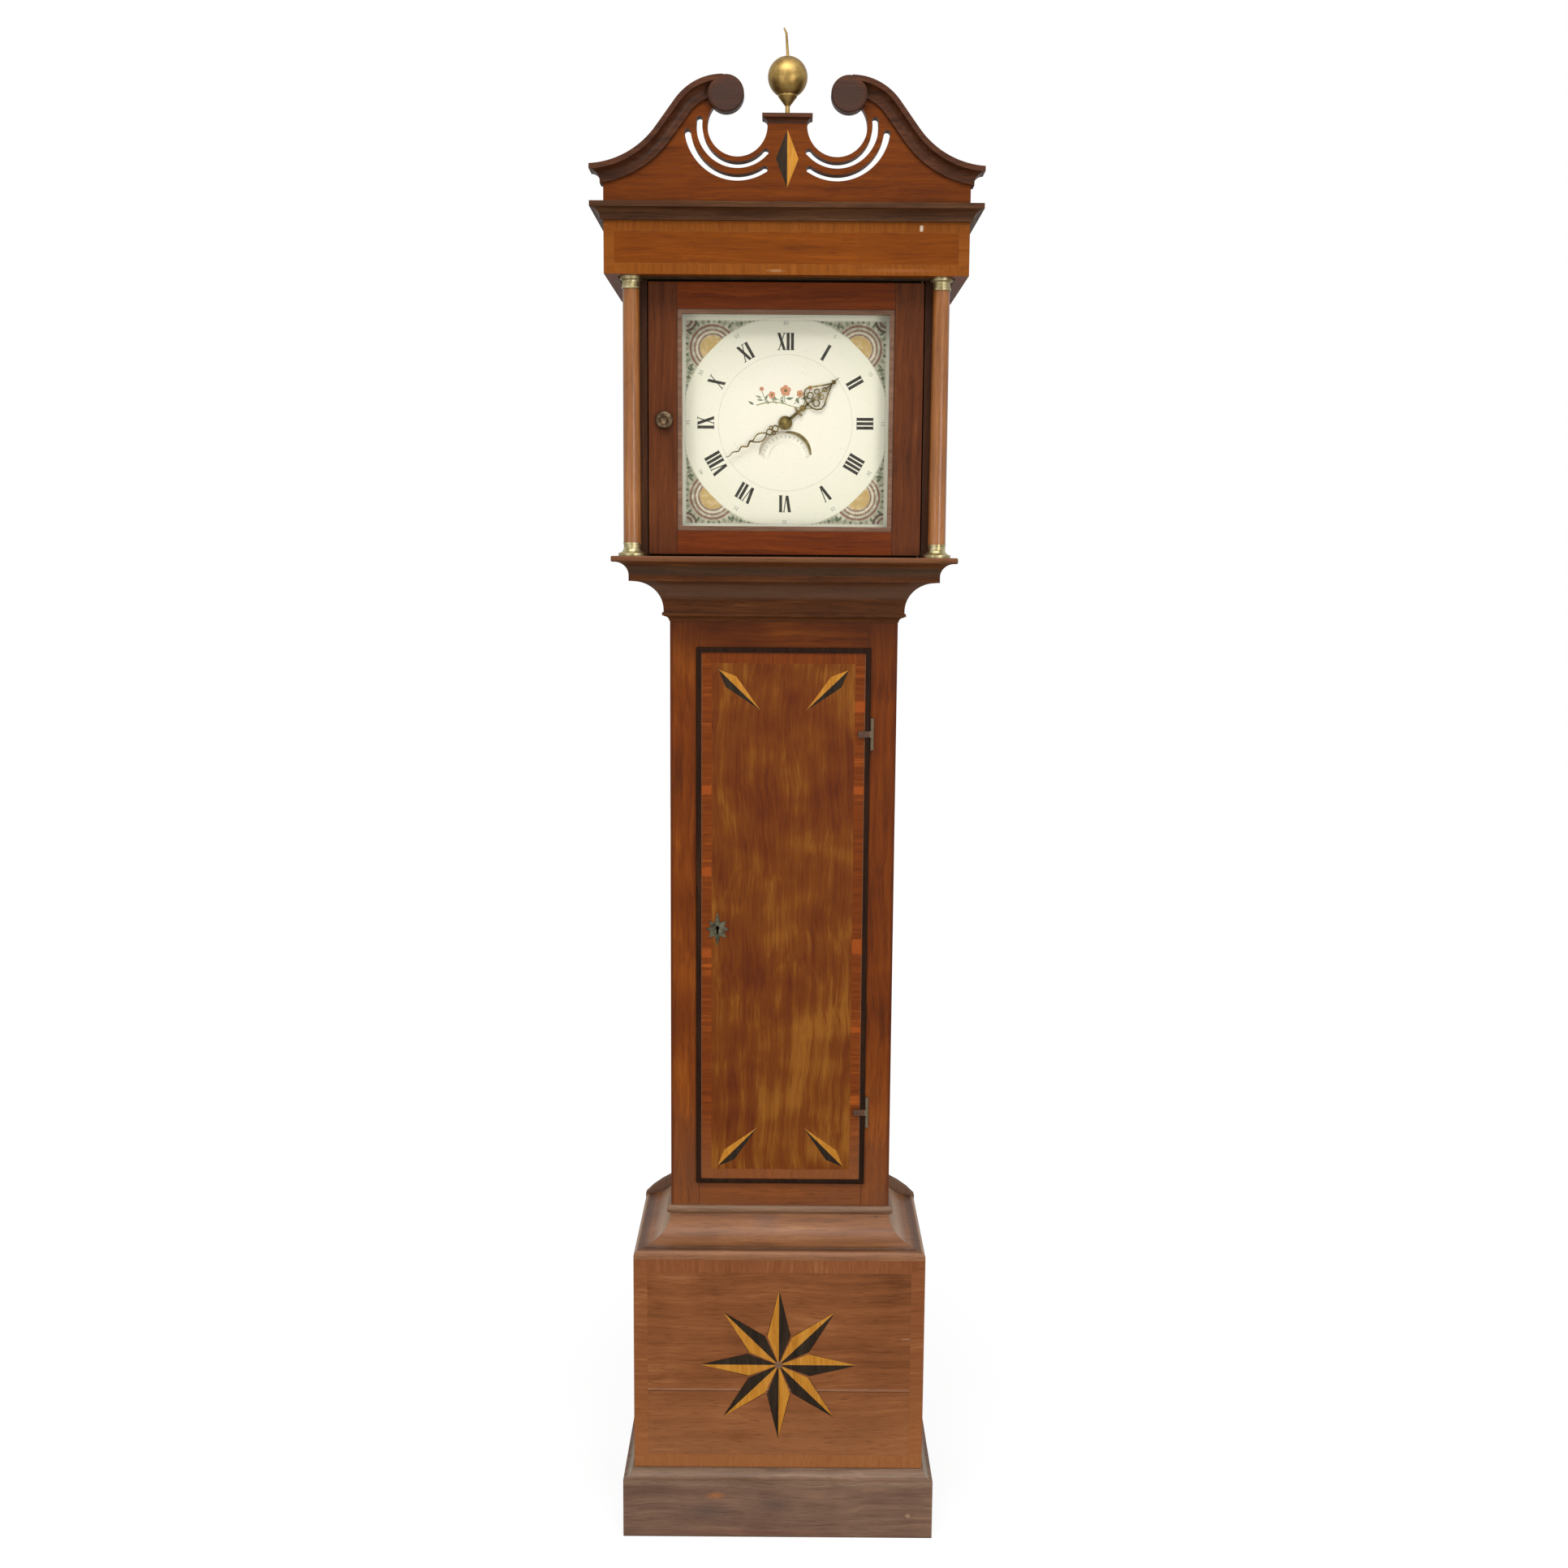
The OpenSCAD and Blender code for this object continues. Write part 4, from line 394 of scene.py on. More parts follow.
def woodMaterial(name, look):
    look = {**woodUsual, **look}
    material, tree, place = newMaterial(name)
    inMm = addNode(tree, "VectorMath", {0: place, "Scale": 1000}, operation="SCALE")
    inMm = addNode(tree, "VectorMath", {0: inMm, 1: look["shift"]}, operation="ADD")
    cut = addNode(tree, "SeparateXYZ", {0: inMm})
    across, upward = cut.outputs[0], cut.outputs[2]
    side = addNode(tree, "Math", {0: across}, operation="ABSOLUTE")
    grain, turned = grainDirection(tree, look, cut, side)
    blotch = addNode(tree, "TexNoise", {"Vector": inMm, "Scale": 1 / look["blotch"], "Detail": 2})
    tone, streaks = woodTone(tree, look, grain, across, blotch)
    pores = stretched(tree, grain, look["pore"], look["poreRun"], Detail=1)
    low, high = look["poreSpan"]
    pores = addNode(tree, "MapRange", {"Value": pores, "From Min": low, "From Max": high})
    edge = addNode(tree, "Bevel", {"Radius": look["edge"] * mm}, samples=4)

    colour = addNode(tree, "ValToRGB", {0: tone}, stops=evenStops(look["colours"]))
    if "railTint" in look:
        colour = addNode(tree, "Mix", {"Factor": turned, "A": colour, "B": look["railTint"]},
                         data_type="RGBA", blend_type="MULTIPLY")
    colour = agedColour(tree, look, colour, side, upward, blotch)
    shade = addNode(tree, "Math", {0: pores, 1: look["poreShare"]}, operation="MULTIPLY")
    colour = addNode(tree, "Mix", {"Factor": shade, "A": colour, "B": look["deep"]}, data_type="RGBA")
    colour = wornColour(tree, look, colour, inMm, edge)
    colour = spottedColour(tree, look, colour, inMm, across, upward)

    dull, deep = look["streakDull"], look["poreDepth"]
    sheen = addNode(tree, "Math", {0: streaks, 1: dull, 2: look["rough"]}, operation="MULTIPLY_ADD")
    height = addNode(tree, "Math", {0: pores, 1: -deep, 2: streaks}, operation="MULTIPLY_ADD")
    bump = addNode(tree, "Bump", {"Strength": look["bump"], "Distance": look["bumpDepth"] * mm,
                                  "Height": height, "Normal": edge})
    finishMaterial(tree, addNode(tree, "BsdfPrincipled", {
        "Base Color": colour, "Roughness": sheen, "IOR": 1.5, "Normal": bump,
        "Specular IOR Level": look["shine"],
        "Coat Weight": look["polish"], "Coat Roughness": look["polishRough"],
    }))
    return material


# Old oak, wax-polished: straight grain, long open pores, reddish brown with a soft shine
oakLook = {
    "ring": 9, "streak": 2.6, "pore": 1.3,
    "colours": ["#4a1e04", "#6a2e04", "#7a3a08", "#904a10"],
    "deep": "#341505", "worn": "#a0653a", "rough": 0.38, "shine": 0.12, "polish": 0.03,
}
# Stained mouldings: the polish has gone nearly black in the hollows
stainedLook = {
    "ring": 7, "streak": 2.2, "pore": 1.0, "along": "x",
    "colours": ["#2e1506", "#50290e", "#643716", "#7e4d26"],
    "deep": "#1a0d05", "worn": "#8a6240", "rough": 0.38, "shine": 0.12, "polish": 0.03, "wear": 0.5,
}
# Mahogany and its veneer, under a thin french polish
veneerLook = {"rough": 0.36, "shine": 0.1, "polish": 0.03}
# Washed and rubbed oak: the polish is gone, and a pale bloom is left
rubbedLook = {"ring": 10, "streak": 2.4, "pore": 1.2, "along": "x", "blotch": 90, "rough": 0.4, "shine": 0.4}
# Deal boards, never polished: wide rings, greyed by dust
dealLook = {"ring": 16, "streak": 3.0, "pore": 1.4, "warp": 40, "rough": 0.7, "polish": 0.0}
inlayLook = {"ring": 5, "streak": 1.4, "pore": 0.7}
woods = {
    "trunkOak": woodMaterial("waxed oak, trunk", {
        **oakLook, "rails": 119, "lines": [("x", 119, 0.6, "#2a1206", 0.6), ("x", 160, 5, "#4a1c08", 0.55)],
        "blotch": 110, "cloud": 0.7, "spread": (0.55, 1.08),
        # pale towards the foot, painted light from the floor; dark towards the top, painted shade under the
        # hood
        "heightLightAndTint": [(430, 700, 0.45, "#8e5e3e"), (1345, 1240, 0.6, "#3a1806")],
        "spots": [(-148, 1125, 8, 45, "#3a1606", 0.5, 0.9), (148, 1090, 9, 55, "#461a06", 0.5, 0.9),
                  (138, 985, 9, 16, "#3a1606", 0.45, 0.9)],
    }),
    "sideOak": woodMaterial("waxed oak, sides", {**oakLook, "shift": (300, 0, 40)}),
    "baseOak": woodMaterial("waxed oak, base front", {
        **oakLook, "along": "x", "ring": 12, "warp": 34, "blotch": 100, "cloud": 0.6, "spread": (0.51, 1.05),
        "colours": ["#5e3418", "#7c4827", "#8c542f", "#a46a40"], "deep": "#42210e",
        # paler towards the foot: painted light from the floor
        "heightLightAndTint": [(95, 250, 0.5, "#a87048")],
        "lines": [("z", 222.4, 2.6, "#a87c60", 0.45), ("z", 219.8, 0.7, "#2a150a", 0.4)],
        "spots": [(190, 302, 14, 1.2, "#b08a70", 0.5, 0.4), (-150, 395, 40, 1.4, "#a5785a", 0.4, 0.5),
                  (60, 330, 12, 1.2, "#a88468", 0.35, 0.4), (-60, 150, 30, 14, "#6a3a1c", 0.4, 0.8)],
    }),
    "doorOak": woodMaterial("waxed oak, trunk door", {
        **oakLook, "ring": 14, "streak": 3.2, "warp": 40, "shift": (70, 0, 900),
        "blotch": 90, "cloud": 0.9, "spread": (0.62, 1.16),
        "colours": ["#481a05", "#672d08", "#7e420c", "#a0641e"],
        "heightLightAndTint": [(1310, 1200, 0.3, "#5a2408")],  # read after the shift, so it lies evenly on the whole door
    }),
    # Mahogany, french polished: finer pores, redder, a deeper shine
    "hoodMahogany": woodMaterial("polished mahogany, hood door", {
        "ring": 8, "streak": 2.2, "pore": 0.9, "rails": 147.5, "railTint": (1.4, 1.02, 0.4, 1),
        "colours": ["#3b1b09", "#562a11", "#663416", "#7a4622"],
        "deep": "#2a1206", "worn": "#8a5430", "rough": 0.34, "shine": 0.12, "polish": 0.04,
        "lines": [("x", 147.6, 0.5, "#20100a", 0.8)],
    }),
    "pedimentMahogany": woodMaterial("polished mahogany, pediment", {
        **veneerLook, "ring": 10, "streak": 2.4, "pore": 0.9, "along": "x", "warp": 30,
        "colours": ["#4a1e03", "#662e04", "#763806", "#8a460c"],
        "deep": "#381505", "worn": "#a86a3c",
    }),
    "friezeMahogany": woodMaterial("golden mahogany veneer, frieze", {
        **veneerLook, "ring": 13, "streak": 2.8, "pore": 1.0, "along": "x", "warp": 30,
        "colours": ["#542403", "#723602", "#824004", "#9a500a"],
        "deep": "#421c04", "worn": "#c08a4a",
    }),
    "stainedMoulding": woodMaterial("stained oak mouldings", {
        **stainedLook, "colours": ["#2a160b", "#492b17", "#5b3a22", "#745034"],
    }),
    "hoodBaseOak": woodMaterial("stained oak, hood base", {
        **stainedLook, "worn": "#a07c64", "wear": 0.6,
        # the lighter top is a painted highlight on the lip, and the dark band at 1412 is painted shade in the
        # cove under it
        "heightLightAndTint": [(1434, 1420, 0.75, "#8a5e42")], "lines": [("z", 1412, 8, "#41362a", 0.6)],
    }),
    "throatOak": woodMaterial("stained oak, throat", {
        **stainedLook, "lines": [("z", 1384, 13, "#6a5040", 0.6)],
    }),
    "neckOak": woodMaterial("stained oak, swan necks", {
        **stainedLook, "colours": ["#28140a", "#442412", "#57301b", "#70452a"],
        "deep": "#1a0c04", "worn": "#8a5a36", "rough": 0.36, "shine": 0.15, "polish": 0.05, "wear": 0.4,
        "spots": [(side * 77, 2024, 27, 27, "#3e2e28", 0.65, 0.3) for side in (-1, 1)],
    }),
    # Hood sides: darkened as painted shade, for the recess behind the columns beside the door
    "hoodSideOak": woodMaterial("oak, hood sides, darkened as painted shade", {
        "ring": 9, "streak": 2.6, "pore": 1.2,
        "colours": ["#241209", "#3a1e0f", "#482814", "#5c371e"],
        "deep": "#180b05", "worn": "#7a4e2e", "rough": 0.38, "shine": 0.15, "polish": 0.05,
    }),
    "darkDeal": woodMaterial("smoked deal boards, hood", {
        **dealLook, "colours": ["#2c2016", "#443223", "#54402c", "#665038"],
        "deep": "#20160e", "worn": "#7a6448", "shine": 0.1,
    }),
    # The door's lip is almost black with old polish
    "lipOak": woodMaterial("blackened oak, door lip", {
        "ring": 6, "streak": 2.0, "pore": 1.0,
        "colours": ["#120804", "#200f06", "#2c190c", "#402614"],
        "deep": "#0a0402", "worn": "#7a5a40", "rough": 0.4, "shine": 0.08, "polish": 0.02, "wear": 0.35,
    }),
    # Bead round the glass: pale greyish brown, its whole tone lightened as painted light, as its lit lower
    # and left sides look
    "beadOak": woodMaterial("bead round the glass, lightened as painted light", {
        "ring": 6, "streak": 2.0, "pore": 1.0, "along": "x",
        "colours": ["#4a3020", "#6e4e3a", "#825e48", "#a07c64"],
        "deep": "#2a1a10", "worn": "#b09680", "rough": 0.38, "shine": 0.25, "wear": 0.5,
    }),
    # The foot is washed most often and has gone grey brown
    "wornOak": woodMaterial("rubbed oak, foot", {
        **rubbedLook, "cloud": 0.5, "spread": (0.46, 1.0),
        "colours": ["#503526", "#6e5040", "#80604c", "#98745c"],
        "deep": "#3c281c", "worn": "#b09a88", "rough": 0.5, "shine": 0.35,
        "spots": [(-91, 65, 17, 6, "#a8683a", 0.7, 0.6), (-4, 52, 34, 17, "#56443c", 0.6, 0.9),
                  (-105, 40, 46, 15, "#58463e", 0.6, 0.9), (191, 35, 4, 4, "#b08c70", 0.7, 0.4),
                  (-60, 8, 150, 3, "#7a4030", 0.4, 0.6)],
    }),
    "footMoulding": woodMaterial("rubbed oak, foot moulding", {
        **rubbedLook, "blotch": 130, "colours": ["#523826", "#745844", "#886a54", "#a48670"],
        # its sides are lightened as a painted sheen
        "deep": "#3c281a", "worn": "#b8a08a", "rough": 0.42, "paintedSideSheen": ("#b8aa98", 0.6),
    }),
    "shoulderOak": woodMaterial("rubbed oak, shoulder", {
        **rubbedLook, "colours": ["#5e3a22", "#825434", "#96633e", "#ac7a54"],
        # its sides are lightened as a painted sheen
        "deep": "#40281a", "worn": "#b09a86", "paintedSideSheen": ("#c4a68c", 0.6),
        "lines": [("z", 434.6, 1.5, "#3c2416", 0.6)],
        "spots": [(-134, 478, 3, 3, "#3a2216", 0.9, 0.2), (128, 478, 3.2, 3.2, "#3a2216", 0.9, 0.2),
                  (-20, 462, 26, 16, "#6e5248", 0.5, 0.8), (142, 468, 3, 1.6, "#4a3020", 0.7, 0.2)],
    }),
    "nosingOak": woodMaterial("rubbed oak, nosing", {
        **rubbedLook, "ring": 7, "streak": 2.2, "pore": 1.0, "blotch": 130,
        "colours": ["#4a3020", "#704e38", "#866448", "#9c7a60"],
        "deep": "#2c1a10", "worn": "#a88a72", "wear": 0.5,
    }),
    # Crossbanding: mahogany veneer with its grain across the strip, laid in short pieces
    "baseBand": woodMaterial("crossbanding, base", {
        **veneerLook, "ring": 6, "streak": 1.8, "pore": 0.8,
        "band": (211.6, 261.5, 160.5), "block": 46, "blockShare": 0.14,
        "colours": ["#6c3c1c", "#844c28", "#905630", "#a66c40"],
        "deep": "#42220e", "worn": "#b4763c", "shine": 0.15,
        # paler towards the foot, painted light from the floor; darker towards the top, painted shade
        "heightLightAndTint": [(95, 250, 0.5, "#b0713f"), (422, 390, 0.3, "#7a4428")],
    }),
    "doorBand": woodMaterial("crossbanding, trunk door", {
        **veneerLook, "ring": 5, "streak": 1.6, "pore": 0.8,
        "band": (116, 911.85, 385.85), "block": 16, "blockShare": 0.2,
        "colours": ["#522306", "#6e310a", "#7e3b0e", "#b0581c"],
        "deep": "#3a1806", "worn": "#b4763c",
        # paler towards the foot: painted light from the floor
        "heightLightAndTint": [(515, 640, 0.5, "#96603a")], "lines": [("x", 115.2, 0.7, "#9a7258", 0.5)],
        "spots": [(x, z, 45, high, "#a04c18", 0.8, 0.1) for x, z, high in (
            (108, 1222, 8), (108, 1103, 6), (108, 876, 12), (108, 752, 4),
            (-108, 1102, 7), (-108, 984, 7), (-108, 863, 5))],
    }),
    "friezeBand": woodMaterial("crossbanding, frieze", {
        **veneerLook, "ring": 5, "streak": 1.6, "pore": 0.8,
        "band": (242, 1836, 34.3), "block": 52, "blockShare": 0.14,
        "spots": [(178, 1862, 2.6, 4.5, "#d6c4ac", 0.9, 0.2), (-14, 1807, 14, 2.4, "#b88a60", 0.5, 0.6),
                  (150, 1808, 62, 3.4, "#a8683c", 0.4, 0.7), (-224, 1836, 2, 20, "#a0703c", 0.35, 0.6)],
        "colours": ["#703808", "#80430c", "#8a4b12", "#9a561c"],
        "deep": "#481f06", "worn": "#c08a4a",
    }),
    # Deal boards inside: unpolished, yellow grey with age
    "deal": woodMaterial("bare deal boards", {
        **dealLook, "colours": ["#6e5535", "#8f7448", "#a58a5c", "#b99f72"],
        "deep": "#4a3620", "worn": "#c4ad84", "ears": (160.3, 424, 482, "#7c5f4c"),
    }),
    "columnWood": woodMaterial("polished fruitwood columns", {
        "ring": 6, "streak": 2.0, "pore": 0.9,
        "colours": ["#633410", "#8a5222", "#a0632c", "#b87c44"],
        "deep": "#4a280e", "worn": "#d09c70", "rough": 0.26, "shine": 0.4, "polish": 0.35, "polishRough": 0.1,
    }),
    # Inlay: boxwood scorched to honey, and oak blackened in the bog
    "boxwood": woodMaterial("boxwood inlay", {
        **inlayLook, "colours": ["#965e18", "#b87824", "#ca8a32", "#da9e4e"],
        "deep": "#6a3c10", "worn": "#d8b07a", "rough": 0.36, "shine": 0.12, "polish": 0.03,
    }),
    "bogOak": woodMaterial("bog oak inlay", {
        **inlayLook, "colours": ["#1a130d", "#281f17", "#352a20", "#483b2e"],
        "deep": "#0c0805", "worn": "#5a4a38", "rough": 0.4, "shine": 0.08, "polish": 0.02,
    }),
}
print("woods ready")


# metal, glass and rope

# sizes in mm: the rounding of edges, the depth of a bump and how far the dirt and painted shade reach from a
# corner
metalUsual = {"metallic": 1.0, "bump": 0.15, "bumpDepth": 0.3, "edge": 0.3, "dirtAndShade": 0.6, "dirtAndShadeReach": 6}


def metalMaterial(name, look):
    look = {**metalUsual, **look}
    material, tree, place = newMaterial(name)
    cloud = addNode(tree, "TexNoise", {"Vector": place, "Scale": 1 / (look["cloud"] * mm),
                                       "Detail": 5, "Roughness": 0.6})
    speck = addNode(tree, "TexNoise", {"Vector": place, "Scale": 1 / (look["speck"] * mm), "Detail": 2})
    tone = addNode(tree, "Math", {0: speck, 1: 0.3, 2: cloud}, operation="MULTIPLY_ADD")
    tone = addNode(tree, "MapRange", {"Value": tone, "From Min": 0.42, "From Max": 0.88})
    colour = addNode(tree, "ValToRGB", {0: tone}, stops=evenStops(look["colours"]))
    # dirt and painted shade: the corners darken towards the deep colour
    corner = addNode(tree, "AmbientOcclusion", {"Distance": look["dirtAndShadeReach"] * mm}, samples=4).outputs["AO"]
    corner = addNode(tree, "MapRange", {"Value": corner, "From Min": 0.8, "From Max": 0.2,
                                        "To Max": look["dirtAndShade"]})
    colour = addNode(tree, "Mix", {"Factor": corner, "A": colour, "B": look["deep"]}, data_type="RGBA")
    if "beyond" in look:
        # rubbed bright past a distance from the middle, where it stands out of the wood
        level, tint, share = look["beyond"]
        out = addNode(tree, "SeparateXYZ", {0: place}).outputs[0]
        out = addNode(tree, "Math", {0: out, 1: level * mm}, operation="GREATER_THAN")
        out = addNode(tree, "Math", {0: out, 1: share}, operation="MULTIPLY")
        colour = addNode(tree, "Mix", {"Factor": out, "A": colour, "B": tint}, data_type="RGBA")
    smooth, dull = look["rough"]
    rough = addNode(tree, "MapRange", {"Value": cloud, "From Min": 0.35, "From Max": 0.65,
                                       "To Min": smooth, "To Max": dull})
    edge = addNode(tree, "Bevel", {"Radius": look["edge"] * mm}, samples=3)
    bump = addNode(tree, "Bump", {"Strength": look["bump"], "Distance": look["bumpDepth"] * mm,
                                  "Height": speck, "Normal": edge})
    finishMaterial(tree, addNode(tree, "BsdfPrincipled", {
        "Base Color": colour, "Metallic": look["metallic"], "Roughness": rough, "Normal": bump,
    }))
    return material


metals = {
    # Cast and turned brass, lacquer long gone: brown cloudy tarnish over a yellow metal
    "brass": metalMaterial("tarnished brass", {
        "cloud": 14, "speck": 1.2, "colours": ["#4a3d20", "#86703a", "#b09655", "#cdb676"],
        "deep": "#2a2010", "rough": (0.26, 0.5),
    }),
    # Rubbed bright where hands and dusters reach it: pale cream gold
    "paleBrass": metalMaterial("rubbed pale brass", {
        "cloud": 8, "speck": 0.9, "colours": ["#7a6c48", "#a89a6e", "#c8bc92", "#e4dab8"],
        "deep": "#3c3220", "rough": (0.3, 0.5),
    }),
    # Old lacquered ball: dull ochre gold
    "finialBrass": metalMaterial("dull gold brass, finial", {
        "cloud": 22, "speck": 1.2, "colours": ["#7c6134", "#9c7d45", "#b59659", "#ccb077"],
        "deep": "#3a2c14", "rough": (0.36, 0.5), "bump": 0.08,
    }),
    # The knob has gone brown
    "knobBronze": metalMaterial("browned brass, knob", {
        "cloud": 9, "speck": 0.8, "colours": ["#3a2c20", "#5a4836", "#75624c", "#948068"],
        "deep": "#1c140c", "rough": (0.3, 0.5),
    }),
    # Hinge straps have gone as dark as the wood
    "strapBrass": metalMaterial("blackened brass, hinge straps", {
        "cloud": 12, "speck": 0.9, "colours": ["#2c1608", "#42230f", "#573218", "#6e4626"],
        "deep": "#120b06", "rough": (0.5, 0.65), "metallic": 0.0, "beyond": (122.6, "#6a5a44", 0.8),
    }),
    # Stamped brass hands, darkened: deep olive brown
    "handBrass": metalMaterial("darkened brass, hands", {
        "cloud": 9, "speck": 0.8, "colours": ["#332a17", "#5c4d2a", "#83703f", "#a8935a"],
        "deep": "#1a140a", "rough": (0.3, 0.5),
    }),
    # Movement plates and wheels: scraped brass kept out of the light
    "wheelBrass": metalMaterial("scraped brass, movement", {
        "cloud": 20, "speck": 1.0, "colours": ["#7d6a35", "#a68e4c", "#c0a660", "#d4bf80"],
        "deep": "#33280f", "rough": (0.24, 0.42),
    }),
    # Forged iron and steel: grey brown, dull
    "iron": metalMaterial("forged iron", {
        "cloud": 10, "speck": 0.9, "colours": ["#3a3632", "#56514a", "#706a60", "#8a8478"],
        "deep": "#1c1915", "rough": (0.4, 0.62),
    }),
    # Pewter keyhole plate: gone dark greenish grey, soft and scratched
    "pewter": metalMaterial("pewter", {
        "cloud": 7, "speck": 0.8, "colours": ["#332f26", "#4e4a3c", "#686452", "#858070"],
        "deep": "#16130e", "rough": (0.42, 0.6),
    }),
    # Cast lead: dull blue grey with a chalky bloom
    "lead": metalMaterial("cast lead", {
        "cloud": 24, "speck": 1.6, "colours": ["#4c4f52", "#666a6d", "#7b7f82", "#93979a"],
        "deep": "#2b2c2e", "rough": (0.5, 0.7), "metallic": 0.6, "bump": 0.4,
    }),
}

# Window glass: thin, clear and a little wavy. Only its front faces mirror, since a back face seen at a slant
# would mirror everything and turn black.
glassLook = {"waves": 14, "waveDepth": 2, "bump": 0.05, "rough": 0.03, "ior": 1.25}  # 14 waves to the metre
glass, tree, place = newMaterial("old window glass")
wave = addNode(tree, "TexNoise", {"Vector": place, "Scale": glassLook["waves"], "Detail": 1})
bump = addNode(tree, "Bump", {"Strength": glassLook["bump"], "Distance": glassLook["waveDepth"] * mm,
                              "Height": wave})
clear = addNode(tree, "BsdfTransparent", {"Color": white})
shine = addNode(tree, "BsdfGlossy", {"Color": white, "Roughness": glassLook["rough"], "Normal": bump})
mirrored = addNode(tree, "Fresnel", {"IOR": glassLook["ior"], "Normal": bump})
inside = addNode(tree, "NewGeometry").outputs["Backfacing"]
outside = addNode(tree, "Math", {0: 1, 1: inside}, operation="SUBTRACT")
mirrored = addNode(tree, "Math", {0: mirrored, 1: outside}, operation="MULTIPLY")
finishMaterial(tree, addNode(tree, "MixShader", {0: mirrored, 1: clear, 2: shine}))

# Hemp rope: pale straw fibres, 0.7 mm wide and 4 mm long, so 1400 and 260 to the metre
hempLook = {"fibres": (1400, 1400, 260), "bump": 0.6, "bumpDepth": 0.4, "rough": 0.85,
            "stops": [(0.3, "#6b5434"), (0.55, "#a48a5e"), (0.8, "#cbb58a")]}
hemp, tree, place = newMaterial("hemp rope")
fibre = addNode(tree, "Mapping", {"Vector": place, "Scale": hempLook["fibres"]})
fibre = addNode(tree, "TexNoise", {"Vector": fibre, "Scale": 1, "Detail": 3})
colour = addNode(tree, "ValToRGB", {0: fibre}, stops=hempLook["stops"])
bump = addNode(tree, "Bump", {"Strength": hempLook["bump"], "Distance": hempLook["bumpDepth"] * mm,
                              "Height": fibre})
finishMaterial(tree, addNode(tree, "BsdfPrincipled", {
    "Base Color": colour, "Roughness": hempLook["rough"], "Normal": bump,
}))
print("metals, glass and rope ready")


# what each CAD node is made of

finishes = [
    (glass, ["hood_door_glass"]),
    (hemp, ["rope_over_sprockets", "weight_rope", "counter_rope"]),
    (woods["wornOak"], ["plinth_skirt"]),
    (woods["footMoulding"], ["plinth_moulding"]),
    (woods["baseOak"], ["base_front"]),
    (woods["baseBand"], ["base_crossbanding"]),
    (woods["shoulderOak"], ["shoulder_moulding"]),
    (woods["nosingOak"], ["trunk_nosing"]),
    (woods["trunkOak"], ["trunk_front_frame"]),
    (woods["sideOak"], ["case_sides"]),
    (woods["deal"], ["backboard", "seatboard"]),
    (woods["throatOak"], ["throat_moulding"]),
    (woods["doorOak"], ["trunk_door_panel"]),
    (woods["lipOak"], ["trunk_door_lip"]),
    (woods["doorBand"], ["trunk_door_banding"]),
    (woods["hoodBaseOak"], ["hood_base"]),
    (woods["hoodSideOak"], ["hood_sides"]),
    (woods["darkDeal"], ["hood_inner_boards"]),
    (woods["friezeMahogany"], ["frieze"]),
    (woods["friezeBand"], ["frieze_banding"]),
    (woods["stainedMoulding"], ["cornice"]),
    (woods["pedimentMahogany"], ["pediment_board"]),
    (woods["neckOak"], ["pediment_cap", "swan_necks"]),
    (woods["columnWood"], ["columns"]),
    (woods["hoodMahogany"], ["hood_door_frame"]),
    (woods["beadOak"], ["hood_door_bead"]),
    (woods["boxwood"], ["pediment_diamond", "base_star", "trunk_door_kites"]),
    (metals["strapBrass"], ["case_hinge_leaves", "door_hinge_leaves"]),
    (metals["wheelBrass"], ["movement_frame", "centre_arbor", "minute_wheel", "great_wheel", "third_wheel",
                            "escape_wheel", "strike_wheel"]),
    (metals["brass"], ["bell", "lock_bolt", "weight_pulley"]),
    (metals["pewter"], ["escutcheon"]),
    (metals["iron"], ["lock_case", "anchor", "pendulum_rod", "hammer"]),
    (metals["lead"], ["pendulum_bob", "drive_weight", "counterweight"]),
    (metals["finialBrass"], ["finial"]),
    (metals["paleBrass"], ["column_brasses"]),
    (metals["knobBronze"], ["hood_door_brasses"]),
    (metals["handBrass"], ["minute_hand", "hour_hand"]),
]
for material, names in finishes:
    for name in names:
        dress(nodes[name], material)
print("CAD nodes finished")


# flat work: an outline is a list of (x, z) points in mm, seen from the front

def flatPiece(outlines, front, deep):
    curve = bpy.data.curves.new("flat", "CURVE")
    curve.dimensions = "2D"
    curve.fill_mode = "BOTH"
    curve.extrude = deep * mm / 2
    for outline in outlines:
        spline = curve.splines.new("POLY")
        spline.points.add(len(outline) - 1)
        for point, (x, z) in zip(spline.points, outline):
            point.co = (x * mm, z * mm, 0, 1)
        spline.use_cyclic_u = True
    piece = linked("flat", curve)
    piece.rotation_euler = (radians(90), 0, 0)
    piece.location = (0, (front + deep / 2) * mm, 0)
    return meshed(piece)


def arc(x, z, radius, start=0, end=360, steps=32):
    turns = steps if abs(end - start) == 360 else steps + 1
    return [(x + radius * cos(radians(start + (end - start) * i / steps)),
             z + radius * sin(radians(start + (end - start) * i / steps))) for i in range(turns)]


def ring(x, z, outer, inner, steps=32):
    return [arc(x, z, outer, steps=steps), arc(x, z, inner, steps=steps)]


def ribbon(path, widths):
    # a strip of changing width along a path
    left, right = [], []
    for i, (x, z) in enumerate(path):
        before, after = path[max(i - 1, 0)], path[min(i + 1, len(path) - 1)]
        run, rise = after[0] - before[0], after[1] - before[1]
        length = hypot(run, rise)
        half = widths(i / (len(path) - 1)) / 2
        left.append((x - rise / length * half, z + run / length * half))
        right.append((x + rise / length * half, z - run / length * half))
    return left + right[::-1]


def leafShape(middle, tip, wide, stalk, run=1, point=0.93):
    # stalk and point say how far round its bulge the leaf starts and stops, as parts of a half-turn
    return ribbon([(0, 0), (0, middle), (0, tip)], lambda t: wide * sin(pi * min(point, t * run + stalk)))


